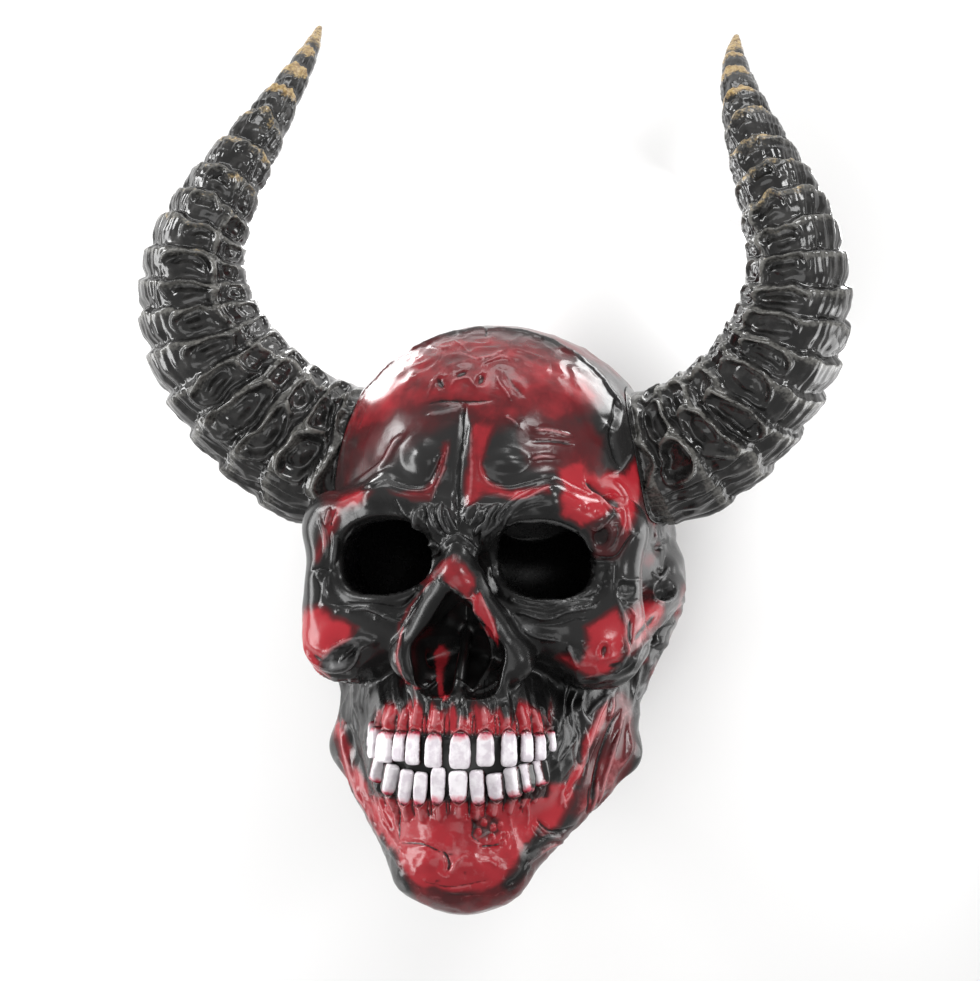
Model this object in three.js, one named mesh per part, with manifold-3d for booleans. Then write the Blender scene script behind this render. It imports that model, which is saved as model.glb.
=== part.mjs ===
// A demon skull mask: a hollow moulded head shell with a row of upper and a row of lower teeth,
// and two ringed horns glued to its temples. It lies face up on the back of the skull.
// Millimetres. The mask frame has +X towards the wearer's left, +Y towards the crown and +Z out of
// the face, and its zero is at eye level on the line through the ears.
import * as THREE from "three";
import { mergeVertices } from "three/addons/utils/BufferGeometryUtils.js";
import Module from "manifold-3d";

const wasm = await Module();
wasm.setup();

// Driving dimensions of the shell
const WALL = 4.5; // moulded wall
const FACE_WALL = 9; // thicker moulding behind the teeth
const BACK = 101; // the back of the skull lies flat this far behind the ears

// How finely the shell is made: the grid's edge, and how far its facets may stray from the form
const SKIN = { edge: 4, stray: 1.9 };
const LINING = { edge: 9, stray: 2.4 };
const CUT_STRAY = 0.25;
const SHELL_BOX = { min: [-120, -205, -120], max: [120, 140, 140] };
const REACH = 330; // no part of the mask is further from its zero

// Side view of the neck opening's edge: from the chin along the jaw, then level to the nape
const NECK_EDGE = [
  { z: 96, y: -240 },
  { z: 84, y: -200 },
  { z: 60, y: -153 },
  { z: 28, y: -129 },
  { z: -140, y: -82 },
];

// Eye holes
const EYE = { x: 45, y: 0, halfWidth: 27, halfHeight: 21, power: 2.5, droop: 0.1, corners: 16 };
const EYE_BAR = { back: 35, depth: 110 }; // the bar that cuts an eye hole, along z

// Teeth: one row stands on an elliptical arch. Half of each tooth is sunk in the gum.
const ARCH = { halfWidth: 50, depth: 45, z: 77 };
const UPPER = { y: -101, height: 19, widths: [13, 12, 11, 9.5, 9, 9] };
const LOWER = { y: -122, height: 18, widths: [11.5, 11, 10.5, 9.5, 9, 9] };
const TOOTH = { gap: 1.4, halfDepth: 5, sides: 8, squareness: 0.6, bevel: 0.3 };

// Horns: stations along the middle line, each with the radius there
const HORN_LINE = [
  { x: 64, y: 52, z: -2, r: 42 },
  { x: 101, y: 60, z: 2, r: 43 },
  { x: 126, y: 75, z: 8, r: 40.5 },
  { x: 147, y: 97, z: 16, r: 38 },
  { x: 164, y: 122, z: 25, r: 36 },
  { x: 172, y: 147, z: 31, r: 32.5 },
  { x: 172, y: 172, z: 34, r: 28.5 },
  { x: 166, y: 198, z: 31, r: 24 },
  { x: 153, y: 229, z: 19, r: 18 },
  { x: 138, y: 263, z: -4, r: 11.5 },
  { x: 128, y: 292, z: -37, r: 6 },
  { x: 125, y: 309, z: -62, r: 1.6 },
];
const RING = { count: 19, crest: 0.054, trough: -0.036 }; // crest and trough as shares of the radius
const RING_CROWDING = 0.8; // below 1 the rings lie closer towards the tip
const HORN_SIDES = 12;
const GLUE_GAP = 0.35; // between a horn and the temple it is glued to

const PAINT = {
  skull_mask: { color: 0x8c1f24, roughness: 0.3, metalness: 0 },
  horn: { color: 0x1b1c1e, roughness: 0.32, metalness: 0 },
};

// Distances to simple forms, negative inside. A form's numbers are places and radii in the mask frame.

function ellipsoid(p, c, r) {
  const q = [(p.x - c[0]) / r[0], (p.y - c[1]) / r[1], (p.z - c[2]) / r[2]];
  const k = Math.hypot(...q);
  const slope = Math.hypot(q[0] / r[0], q[1] / r[1], q[2] / r[2]);
  return slope < 1e-9 ? -Math.min(...r) : (k * (k - 1)) / slope;
}

function capsule(p, a, b, ra, rb = ra) {
  const ab = [b[0] - a[0], b[1] - a[1], b[2] - a[2]];
  const ap = [p.x - a[0], p.y - a[1], p.z - a[2]];
  const dot = ab[0] * ap[0] + ab[1] * ap[1] + ab[2] * ap[2];
  const t = Math.min(1, Math.max(0, dot / (ab[0] ** 2 + ab[1] ** 2 + ab[2] ** 2)));
  return Math.hypot(ap[0] - ab[0] * t, ap[1] - ab[1] * t, ap[2] - ab[2] * t) - (ra + (rb - ra) * t);
}

// Union and cut with a fillet of about k
function join(a, b, k) {
  const h = Math.max(k - Math.abs(a - b), 0) / k;
  return Math.min(a, b) - (h * h * k) / 4;
}

function carve(a, b, k) {
  return -join(-a, b, k);
}

// The skull is the same on both sides, so its forms are written for x >= 0
function cranium(p) {
  const front = ellipsoid(p, [0, 40, 16], [90, 91, 90]);
  const back = ellipsoid(p, [0, 43, -12], [93, 85, 98]);
  return join(front, back, 14);
}

function sides(p) {
  const ear = ellipsoid(p, [66, -14, -14], [39, 48, 50]);
  const nape = ellipsoid(p, [0, -34, -34], [82, 62, 64]);
  const cheekFloor = ellipsoid(p, [0, -92, 26], [80, 74, 60]);
  return join(join(ear, nape, 20), cheekFloor, 20);
}

function jaw(p) {
  const ramus = capsule(p, [88, -40, 6], [73, -86, 22], 11, 10);
  const corner = capsule(p, [73, -86, 22], [75, -108, 32], 10, 12);
  const body = capsule(p, [75, -108, 32], [22, -170, 92], 12, 15);
  const chin = ellipsoid(p, [0, -167, 92], [36, 28, 25]);
  return join(join(join(ramus, corner, 6), body, 8), chin, 10);
}

function muzzle(p) {
  const gums = ellipsoid(p, [0, -106, 68], [60, 54, 53]);
  const lowerFace = capsule(p, [0, -132, 92], [0, -166, 93], 27, 23);
  return join(gums, lowerFace, 12);
}

function cheekbones(p) {
  const malar = ellipsoid(p, [69, -46, 71], [28, 24, 27]);
  const arch = capsule(p, [86, -42, 60], [99, -14, 0], 10, 9);
  const orbitSide = capsule(p, [80, 22, 70], [82, -26, 74], 14);
  const midface = ellipsoid(p, [33, -27, 61], [44, 35, 41]);
  return join(join(join(malar, arch, 10), orbitSide, 12), midface, 12);
}

function brow(p) {
  const inner = capsule(p, [12, 22, 105], [48, 33, 98], 10, 9);
  const outer = capsule(p, [48, 33, 98], [84, 16, 72], 9, 12);
  return join(inner, outer, 6);
}

function nose(p) {
  const bridge = capsule(p, [0, 16, 101], [0, -10, 115], 11, 9);
  const flank = capsule(p, [4, -13, 113], [30, -54, 99], 10, 9);
  const sill = capsule(p, [30, -54, 99], [7, -82, 106], 9, 8);
  return join(join(bridge, flank, 8), sill, 8);
}

function noseHollow(p) {
  const top = capsule(p, [0, -20, 118], [4, -50, 107], 5, 21);
  const lobe = capsule(p, [9, -54, 106], [12, -64, 107], 16, 12);
  return join(top, lobe, 6);
}

function orbit(p) {
  return ellipsoid(p, [EYE.x, EYE.y, 124], [31, 26, 28]);
}

// The outside of the whole shell, and the form that its lining follows

function outside(p) {
  const q = { x: Math.abs(p.x), y: p.y, z: p.z };
  let d = join(cranium(q), sides(q), 22);
  d = join(d, muzzle(q), 12);
  d = join(d, jaw(q), 10);
  d = join(d, cheekbones(q), 8);
  d = join(d, brow(q), 12);
  d = carve(d, orbit(q), 10);
  d = join(d, nose(q), 6);
  d = carve(d, noseHollow(q), 3);
  const septum = capsule(q, [0, -38, 86], [0, -78, 110], 3, 3.5);
  return join(d, septum, 3);
}

function lining(p) {
  const q = { x: Math.abs(p.x), y: p.y, z: p.z };
  let d = join(cranium(q), sides(q), 22) + WALL;
  d = join(d, muzzle(q) + FACE_WALL, 12);
  d = join(d, jaw(q) + WALL, 16);
  d = join(d, cheekbones(q) + WALL + 2, 10);
  const hollow = Math.min(noseHollow(q), orbit(q));
  return carve(d, hollow - WALL, 4);
}

// A closed solid of a form, made on a grid, thinned out where it is smooth, and mirrored
function formed(form, grid) {
  const inside = (v) => -form({ x: v[0], y: v[1], z: v[2] });
  const whole = wasm.Manifold.levelSet(inside, SHELL_BOX, grid.edge).simplify(grid.stray);
  const half = whole.trimByPlane([1, 0, 0], 0);
  return half.add(half.mirror([1, 0, 0]));
}

// The largest of a solid's separate bodies
function largest(shape) {
  return shape.decompose().sort((a, b) => b.volume() - a.volume())[0];
}

// The same solid with its skin pushed out by gap along the form's normals
function grown(shape, form, gap) {
  const step = 0.5;
  return shape.warp((v) => {
    const [x, y, z] = v;
    const slope = new THREE.Vector3(
      form({ x: x + step, y, z }) - form({ x: x - step, y, z }),
      form({ x, y: y + step, z }) - form({ x, y: y - step, z }),
      form({ x, y, z: z + step }) - form({ x, y, z: z - step }),
    ).normalize();
    v[0] += slope.x * gap;
    v[1] += slope.y * gap;
    v[2] += slope.z * gap;
  });
}

// Solids for cutting and joining

function solid(geometry, matrix = new THREE.Matrix4()) {
  const bare = new THREE.BufferGeometry().setAttribute("position", geometry.getAttribute("position").clone());
  if (geometry.index) bare.setIndex(geometry.index.clone());
  bare.applyMatrix4(matrix);
  const merged = mergeVertices(bare, 1e-3);
  const kept = [];
  const index = merged.index.array;
  for (let i = 0; i < index.length; i += 3) {
    const [a, b, c] = [index[i], index[i + 1], index[i + 2]];
    if (a !== b && b !== c && c !== a) kept.push(a, b, c);
  }
  return new wasm.Manifold(
    new wasm.Mesh({
      numProp: 3,
      vertProperties: merged.getAttribute("position").array,
      triVerts: new Uint32Array(kept),
    }),
  );
}

function geometryOf(shape) {
  const mesh = shape.getMesh();
  const g = new THREE.BufferGeometry();
  g.setAttribute("position", new THREE.BufferAttribute(new Float32Array(mesh.vertProperties), 3));
  g.setIndex(new THREE.BufferAttribute(new Uint32Array(mesh.triVerts), 1));
  g.computeVertexNormals();
  return g;
}

// Everything behind z
function behind(z) {
  return solid(new THREE.BoxGeometry(2 * REACH, 2 * REACH, REACH).translate(0, 0, z - REACH / 2));
}

// Everything below the neck opening's edge
function belowNeck() {
  const side = new THREE.Shape();
  side.moveTo(NECK_EDGE[0].z, -REACH);
  for (const corner of NECK_EDGE) side.lineTo(corner.z, corner.y);
  side.lineTo(NECK_EDGE.at(-1).z, -REACH);
  side.closePath();
  const slab = new THREE.ExtrudeGeometry(side, { depth: 2 * REACH, bevelEnabled: false, steps: 1 });
  // The shape's x becomes +Z, and its depth runs along -X
  return solid(slab, new THREE.Matrix4().makeRotationY(-Math.PI / 2).setPosition(REACH, 0, 0));
}

// A rounded eye hole that sinks towards its outer corner
function eyeHole(side) {
  const outline = new THREE.Shape();
  for (let i = 0; i < EYE.corners; i++) {
    const t = (2 * Math.PI * i) / EYE.corners;
    const c = Math.cos(t);
    const s = Math.sin(t);
    const x = EYE.halfWidth * Math.sign(c) * Math.abs(c) ** (2 / EYE.power);
    const y = EYE.halfHeight * Math.sign(s) * Math.abs(s) ** (2 / EYE.power) - EYE.droop * x;
    if (i === 0) outline.moveTo(side * (EYE.x + x), EYE.y + y);
    else outline.lineTo(side * (EYE.x + x), EYE.y + y);
  }
  outline.closePath();
  const bar = new THREE.ExtrudeGeometry(outline, { depth: EYE_BAR.depth, bevelEnabled: false, steps: 1 });
  return solid(bar, new THREE.Matrix4().setPosition(0, 0, EYE_BAR.back));
}

// A tooth of unit half sizes: a rounded block with bevelled faces
function toothBlank() {
  const outline = new THREE.Shape();
  for (let i = 0; i < TOOTH.sides; i++) {
    const t = (2 * Math.PI * (i + 0.5)) / TOOTH.sides;
    const x = Math.sign(Math.cos(t)) * Math.abs(Math.cos(t)) ** TOOTH.squareness;
    const y = Math.sign(Math.sin(t)) * Math.abs(Math.sin(t)) ** TOOTH.squareness;
    if (i === 0) outline.moveTo(x, y);
    else outline.lineTo(x, y);
  }
  outline.closePath();
  const bevel = { bevelSegments: 1, bevelSize: TOOTH.bevel, bevelOffset: -TOOTH.bevel, bevelThickness: 0.5 };
  return new THREE.ExtrudeGeometry(outline, { depth: 1, steps: 1, ...bevel }).translate(0, 0, -0.5);
}

// One row of teeth, from the midline out to both sides
function teeth(row) {
  const made = [];
  const blank = toothBlank();
  for (const side of [-1, 1]) {
    let along = 0;
    for (const width of row.widths) {
      const middle = along + width / 2;
      along += width;
      const turn = middle / ARCH.halfWidth;
      const sin = Math.sin(turn);
      const cos = Math.cos(turn);
      const place = new THREE.Matrix4().makeRotationY(side * turn);
      place.scale(new THREE.Vector3((width - TOOTH.gap) / 2, row.height / 2, TOOTH.halfDepth));
      place.setPosition(side * ARCH.halfWidth * sin, row.y, ARCH.z + ARCH.depth * cos);
      made.push(solid(blank, place));
    }
  }
  return made;
}

// The horn's ringed skin: a closed tube along the middle line, with a crest halfway along each ring
function hornSkin() {
  const line = new THREE.CatmullRomCurve3(HORN_LINE.map((s) => new THREE.Vector3(s.x, s.y, s.z)));
  const steps = 2 * RING.count;
  const g = new THREE.CylinderGeometry(1, 1, 1, HORN_SIDES, steps);
  const pos = g.getAttribute("position");
  const forward = new THREE.Vector3(0, 0, 1);
  for (let i = 0; i < pos.count; i++) {
    const share = 0.5 + pos.getY(i);
    const along = share ** RING_CROWDING;
    const place = along * (HORN_LINE.length - 1);
    const k = Math.min(HORN_LINE.length - 2, Math.floor(place));
    const onCrest = Math.round(share * steps) % 2 === 1;
    const swell = 1 + (onCrest ? RING.crest : RING.trough);
    const radius = swell * THREE.MathUtils.lerp(HORN_LINE[k].r, HORN_LINE[k + 1].r, place - k);
    const tangent = line.getTangent(along);
    const front = forward.clone().addScaledVector(tangent, -forward.dot(tangent)).normalize();
    const outer = new THREE.Vector3().crossVectors(tangent, front);
    const point = line.getPoint(along);
    point.addScaledVector(outer, pos.getX(i) * radius);
    point.addScaledVector(front, pos.getZ(i) * radius);
    pos.setXYZ(i, point.x, point.y, point.z);
  }
  return g;
}

// The pieces

const outerSkin = formed(outside, SKIN);

function shell() {
  const liningSkin = largest(formed(lining, LINING));
  let made = outerSkin;
  for (const tooth of [...teeth(UPPER), ...teeth(LOWER)]) made = made.add(tooth);
  made = made.subtract(behind(-BACK));
  made = made.subtract(liningSkin.subtract(behind(-BACK + WALL)));
  made = made.subtract(eyeHole(1)).subtract(eyeHole(-1));
  return made.subtract(belowNeck()).simplify(CUT_STRAY);
}

function horn() {
  const temple = grown(outerSkin, outside, GLUE_GAP);
  return solid(hornSkin()).subtract(temple).simplify(GLUE_GAP / 8);
}

function named(name, geometry, paint) {
  const mesh = new THREE.Mesh(geometry, new THREE.MeshStandardMaterial(paint));
  mesh.name = name;
  return mesh;
}

const hornGeometry = geometryOf(horn());
const leftHorn = named("left_horn", hornGeometry, PAINT.horn);
const rightHorn = named("right_horn", hornGeometry, PAINT.horn);
rightHorn.scale.x = -1;

const mask = new THREE.Group();
mask.add(named("skull_mask", geometryOf(shell()), PAINT.skull_mask), leftHorn, rightHorn);

// The part's own zero is under the middle of the whole mask, on the surface that it lies on
const bounds = new THREE.Box3().setFromObject(mask);
const centre = bounds.getCenter(new THREE.Vector3());
mask.position.set(-centre.x, -centre.y, -bounds.min.z);

export default mask;
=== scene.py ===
import math

import bmesh
import bpy
import numpy as np
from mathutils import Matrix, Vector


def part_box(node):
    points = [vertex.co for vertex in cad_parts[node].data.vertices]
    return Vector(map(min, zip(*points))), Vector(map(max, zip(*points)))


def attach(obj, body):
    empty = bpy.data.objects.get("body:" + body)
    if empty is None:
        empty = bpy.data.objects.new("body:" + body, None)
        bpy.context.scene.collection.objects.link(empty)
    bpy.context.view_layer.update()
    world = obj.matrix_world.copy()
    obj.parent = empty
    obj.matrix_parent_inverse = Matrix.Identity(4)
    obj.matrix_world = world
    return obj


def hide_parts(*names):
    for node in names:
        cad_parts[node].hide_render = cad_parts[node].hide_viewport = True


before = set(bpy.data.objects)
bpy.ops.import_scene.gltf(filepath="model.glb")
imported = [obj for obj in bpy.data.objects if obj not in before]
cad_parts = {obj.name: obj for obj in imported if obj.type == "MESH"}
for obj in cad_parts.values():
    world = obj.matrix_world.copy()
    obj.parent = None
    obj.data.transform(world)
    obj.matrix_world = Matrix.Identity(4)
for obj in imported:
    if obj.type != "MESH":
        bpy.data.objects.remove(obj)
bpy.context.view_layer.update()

import openvdb
from mathutils import Matrix, Vector

# The mask frame, in millimetres: +X towards the mask's own left, +Y towards the crown, +Z out of
# the face, zero at eye level between the temples. The row's frame has the same directions.
# Left and right are the mask's own, and a side is 1 on its left and -1 on its right.
MM = 0.001
CHIN = -195.0
BACK = 101.0
ZERO = (0.0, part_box("skull_mask")[0].y / MM - CHIN, BACK)

# The photograph's view: the camera's turn about Y, its roll and its distance from zero, what a
# pixel spans at zero, the pixel between the eyes, the picture's middle pixel and its longer side
VIEW_TURN = math.radians(11.5)
VIEW_ROLL = math.radians(1.0)
VIEW_DISTANCE = 2200.0
PIXEL = 0.5735
EYE_PIXEL = (499.0, 557.0)
MIDDLE_PIXEL = (490.0, 490.5)
FRAME_SIDE = 981
SENSOR = 36.0

# The seen frame: u and v are millimetres right of and above the middle of the eyes as the
# photograph shows them, on the plane this far in front of zero. Relief and paint are placed in it.
FACE_DEPTH = 100.0

# The shell's wall, and the thicker one behind its teeth
WALL = 4.5
FACE_WALL = 9.0

# The neck opening's edge as z and y, and what its slant takes off a height above it
NECK_EDGE = ((-140, -82), (28, -129), (60, -153), (84, -200), (96, -240), (97, -400))
NECK_SLANT = 0.8

# The eye holes by side: middle, height, half width and half height. Then the power of their
# outline, how far they droop for each millimetre outwards, the z that they end at behind the face
# and half the width of the bridge that they leave between them.
EYE_HOLES = {1: (43.2, 0, 25.2, 21), -1: (-45, 0, 27, 21)}
EYE_POWER = 2.5
EYE_DROOP = 0.1
EYE_END = 35.0
EYE_BRIDGE = 5.0

# The lip round an eye hole: its radius, how deep its middle lies and its fillet
LIP = 2.4
LIP_DEPTH = 0.8
LIP_FILLET = 3.0

# How finely the clay is worked: on the face, over the crown, and at the back and the lining
FACE_STEP = 0.9
CROWN_STEP = 2.2
BACK_STEP = 3.0
SKULL_TRIANGLES = 190000

# The horns by side, both as if on +X: places along the middle line with the radius there
HORN_LINES = {
    -1: (
        (64, 51, -2, 41.5), (102, 59, 2, 41.5), (128, 73.5, 8, 39.5), (150, 94.5, 16, 37.5),
        (167, 121, 25, 35.5), (173.5, 147, 31, 32), (172, 172, 34, 27.5), (163.3, 197, 31, 22),
        (149, 228, 19, 16), (134.5, 263, -4, 9.5), (127, 294, -37, 5.2), (127, 312, -62, 1.6),
    ),
    1: (
        (63, 54.5, -2, 38), (101, 62, 2, 38), (126, 76.5, 8, 36), (147.5, 96.5, 16, 34),
        (164.5, 122, 25, 32.5), (171.5, 147, 31, 30), (171, 172, 34, 26.5), (163.5, 198, 31, 22.5),
        (149.5, 228, 19, 16.5), (135.5, 260, -4, 11), (126, 288, -37, 6), (123.5, 305, -60, 1.6),
    ),
}
# The rings of a horn and how they crowd towards its tip, then its mesh's steps along and round it
HORN_RINGS = 19.0
RING_CROWDING = 0.8
HORN_STEPS = 440
HORN_SIDES = 210
SPINE_STEPS = 40
# How far the rings' lips, the cells and the strands stand out, as shares of the horn's radius
RING_RELIEF = 0.18
CELL_RELIEF = 0.1
STRAND_RELIEF = 0.038
HORN_SEEDS = {-1: -8.0, 1: 14.0}
# How much of the first stretch rounds off a horn's root, how far out the skull can hold a root,
# the gap for the glue, and how often and how far past the gap a place in the skull is moved
ROOT_ROUNDING = 0.25
ROOT_REACH = 111.0
GLUE_GAP = 0.35
ROOT_MOVES = 6
GAP_SPARE = 0.05

# Colours
CRIMSON = (0.33, 0.018, 0.026, 1)
CRIMSON_DEEP = (0.075, 0.008, 0.010, 1)
SOOT = (0.017, 0.0165, 0.0165, 1)
SHADOW = (0.003, 0.003, 0.003, 1)
# Rubbed paint on raised edges, which also stands for painted highlights there
RED_RUB_AND_HIGHLIGHT = (0.50, 0.19, 0.20, 1)
SOOT_RUB_AND_HIGHLIGHT = (0.15, 0.15, 0.152, 1)
ENAMEL = (0.86, 0.82, 0.85, 1)
ENAMEL_GREY = (0.66, 0.60, 0.65, 1)
GUM_PINK = (0.55, 0.04, 0.09, 1)
HORN_BLACK = (0.011, 0.0108, 0.0105, 1)
# Grey for the horns' rims and lips, worn paint that also stands for painted highlights
HORN_WORN_AND_HIGHLIGHT = (0.20, 0.195, 0.18, 1)
HORN_GREY = (0.034, 0.033, 0.032, 1)
GOLD = (0.52, 0.37, 0.15, 1)
GOLD_DEEP = (0.26, 0.16, 0.06, 1)
FLOOR = (0.86, 0.86, 0.86, 1)
FLOOR_WARM = (0.84, 0.835, 0.83, 1)

# How strongly the skull's paint mirrors head on, where clear lacquer is 0.5
PAINT_SHINE = 0.34

# The soft boxes, left and right as the picture shows them: place, aim and size in metres, and watts
MASK_MIDDLE = (0, 0, 0.12)
SOFT_BOXES = {
    "left_box": ((-0.75, 0.36, 0.36), MASK_MIDDLE, (0.22, 0.22), 3),
    "left_strip": ((-0.85, -0.12, 0.34), MASK_MIDDLE, (0.8, 0.2), 5.5),
    "right_box": ((0.8, 0.75, 0.85), MASK_MIDDLE, (0.36, 0.26), 6),
    "right_side": ((1.0, 0.0, 1.0), MASK_MIDDLE, (0.3, 0.3), 2.8),
    "top_box": ((-0.1, 2.1, 0.45), MASK_MIDDLE, (1.6, 0.5), 17),
    "over_box": ((0.1, -0.5, 2.6), MASK_MIDDLE, (1.4, 1.4), 12),
    "left_low": ((-0.18, 0.12, 0.04), (-0.056, 0.037, 0.162), (0.12, 0.1), 0.35),
    "right_low": ((0.155, 0.15, 0.04), (0.064, 0.037, 0.15), (0.12, 0.1), 0.35),
    "side_low": ((0.30, -0.08, 0.03), (0.095, -0.09, 0.13), (0.2, 0.3), 0.9),
}
WORLD_LIGHT = 0.5
FLOOR_HALF = 4.0
FARTHEST_SEEN = 50.0


# Forms: distances in millimetres, negative inside, on arrays of places

def join(a, b, fillet):
    """Union with a fillet."""
    if fillet <= 0:
        return np.minimum(a, b)
    h = np.maximum(fillet - np.abs(a - b), 0) / fillet
    return np.minimum(a, b) - h * h * (fillet / 4)


class Ellipsoid:
    def __init__(self, centre, radii):
        self.centre = centre
        self.radii = radii

    def reach(self):
        low = [c - r for c, r in zip(self.centre, self.radii)]
        high = [c + r for c, r in zip(self.centre, self.radii)]
        return low, high

    def distance(self, p):
        q = [(a - c) / r for a, c, r in zip(p, self.centre, self.radii)]
        k = np.sqrt(q[0] ** 2 + q[1] ** 2 + q[2] ** 2)
        slope = np.sqrt(sum((a / r) ** 2 for a, r in zip(q, self.radii)))
        return k * (k - 1) / np.maximum(slope, 1e-6)


class Capsule:
    def __init__(self, start, end, radius, end_radius=None):
        self.start = start
        self.end = end
        self.radius = radius
        self.end_radius = radius if end_radius is None else end_radius

    def reach(self):
        most = max(self.radius, self.end_radius)
        low = [min(a, b) - most for a, b in zip(self.start, self.end)]
        high = [max(a, b) + most for a, b in zip(self.start, self.end)]
        return low, high

    def distance(self, p):
        line = [b - a for a, b in zip(self.start, self.end)]
        away = [a - s for a, s in zip(p, self.start)]
        square = sum(a * a for a in line)
        t = np.clip(sum(a * b for a, b in zip(away, line)) / square, 0, 1)
        off = np.sqrt(sum((a - b * t) ** 2 for a, b in zip(away, line)))
        return off - (self.radius + (self.end_radius - self.radius) * t)


class Joined:
    """Forms joined one after the other, each with its fillet."""

    def __init__(self, first, *rest):
        self.first = first
        self.rest = rest

    def reach(self):
        boxes = [self.first.reach()] + [form.reach() for form, _ in self.rest]
        low = [min(box[0][i] for box in boxes) for i in range(3)]
        high = [max(box[1][i] for box in boxes) for i in range(3)]
        return low, high

    def distance(self, p):
        d = self.first.distance(p)
        for form, fillet in self.rest:
            d = join(d, form.distance(p), fillet)
        return d


class Clay:
    """A distance field on a grid that forms are added to and carved from."""

    FAR = 60.0
    SPARE = 3.0

    def __init__(self, x, y, z):
        self.axes = (x, y, z)
        self.field = np.full((len(x), len(y), len(z)), self.FAR, np.float32)

    def block(self, reach, spare):
        cuts = []
        for axis, low, high in zip(self.axes, *reach):
            start, end = np.searchsorted(axis, (low - spare, high + spare))
            cuts.append(slice(max(start - 1, 0), end + 1))
        x, y, z = (axis[cut] for axis, cut in zip(self.axes, cuts))
        return tuple(cuts), (x[:, None, None], y[None, :, None], z[None, None, :])

    def add(self, form, fillet=0.0, inset=0.0):
        cuts, p = self.block(form.reach(), fillet + self.SPARE)
        self.field[cuts] = join(self.field[cuts], form.distance(p) + inset, fillet)

    def carve(self, form, fillet=0.0, inset=0.0):
        cuts, p = self.block(form.reach(), fillet + self.SPARE + abs(inset))
        self.field[cuts] = -join(-self.field[cuts], form.distance(p) + inset, fillet)

    def mirrored(self):
        """The whole clay of one that was made for x from 0 up."""
        x, y, z = self.axes
        whole = Clay(np.concatenate((-x[:0:-1], x)), y, z)
        whole.field = np.concatenate((self.field[:0:-1], self.field))
        return whole

    def values_on(self, axes):
        """The field on other places, between this grid's own."""
        values = self.field
        for i, (old, new) in enumerate(zip(self.axes, axes)):
            at = np.clip(np.searchsorted(old, new) - 1, 0, len(old) - 2)
            share = ((new - old[at]) / (old[at + 1] - old[at])).astype(np.float32)
            share = share.reshape([-1 if i == k else 1 for k in range(3)])
            values = np.take(values, at, i) * (1 - share) + np.take(values, at + 1, i) * share
        return values

    def values_at(self, steps):
        """The field at places counted in grid steps."""
        low = np.clip(np.floor(steps).astype(int), 0, np.array(self.field.shape) - 2)
        share = (steps - low).astype(np.float32)
        total = np.zeros(len(steps), np.float32)
        for corner in np.ndindex(2, 2, 2):
            weight = np.prod(np.where(corner, share, 1 - share), axis=1)
            i, j, k = (low + corner).T
            total += weight * self.field[i, j, k]
        return total


def places(start, *runs):
    """Places along an axis: each run goes on to its end in its step."""
    made = [np.array([start])]
    for end, step in runs:
        count = round((end - start) / step)
        made.append(np.linspace(start, end, count + 1)[1:])
        start = end
    return np.concatenate(made).astype(np.float32)


# The skull's forms, for its left half

CRANIUM = Joined(Ellipsoid((0, 40, 16), (90, 91, 90)), (Ellipsoid((0, 43, -12), (93, 85, 98)), 14))
SIDES = Joined(
    Ellipsoid((66, -14, -14), (39, 48, 50)),
    (Ellipsoid((0, -34, -34), (82, 62, 64)), 20),
    (Ellipsoid((0, -92, 26), (80, 74, 60)), 20),
)
JAW = Joined(
    Capsule((88, -40, 6), (73, -86, 22), 11, 10),
    (Capsule((73, -86, 22), (75, -108, 32), 10, 12), 6),
    (Capsule((75, -108, 32), (22, -170, 92), 12, 15), 8),
    (Ellipsoid((0, -167, 92), (36, 28, 25)), 10),
)
MUZZLE = Joined(
    Ellipsoid((0, -106, 68), (60, 54, 53)),
    (Capsule((0, -132, 92), (0, -166, 93), 27, 23), 12),
)
CHEEKBONES = Joined(
    Ellipsoid((69, -46, 71), (28, 24, 27)),
    (Capsule((86, -42, 60), (99, -14, 0), 10, 9), 10),
    (Capsule((80, 22, 70), (82, -26, 74), 14), 12),
    (Ellipsoid((33, -27, 61), (44, 35, 41)), 12),
)
BROW = Joined(
    Capsule((12, 22, 105), (48, 33, 98), 10, 9),
    (Capsule((48, 33, 98), (84, 16, 72), 9, 12), 6),
)
NOSE = Joined(
    Capsule((0, 16, 101), (0, -10, 115), 11, 9),
    (Capsule((4, -13, 113), (30, -54, 99), 10, 9), 8),
    (Capsule((30, -54, 99), (7, -82, 106), 9, 8), 8),
)
NOSE_HOLLOW = Joined(
    Capsule((0, -20, 118), (4, -50, 107), 5, 21),
    (Capsule((9, -54, 106), (12, -64, 107), 16, 12), 6),
)
SEPTUM = Capsule((0, -38, 86), (0, -78, 110), 3, 3.5)
ORBIT = Ellipsoid((45, 0, 124), (31, 26, 28))


def skull_clay():
    """The skull's outer form, without its relief."""
    across = places(0, (112, FACE_STEP))
    upward = places(-206, (74, FACE_STEP), (140, CROWN_STEP))
    clay = Clay(across, upward, places(-106, (-4, BACK_STEP), (130, FACE_STEP)))
    clay.add(CRANIUM)
    clay.add(SIDES, fillet=22)
    clay.add(MUZZLE, fillet=12)
    clay.add(JAW, fillet=10)
    clay.add(CHEEKBONES, fillet=8)
    clay.add(BROW, fillet=12)
    clay.carve(ORBIT, fillet=10)
    clay.add(NOSE, fillet=6)
    clay.carve(NOSE_HOLLOW, fillet=3)
    clay.add(SEPTUM, fillet=3)
    return clay.mirrored()


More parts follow.
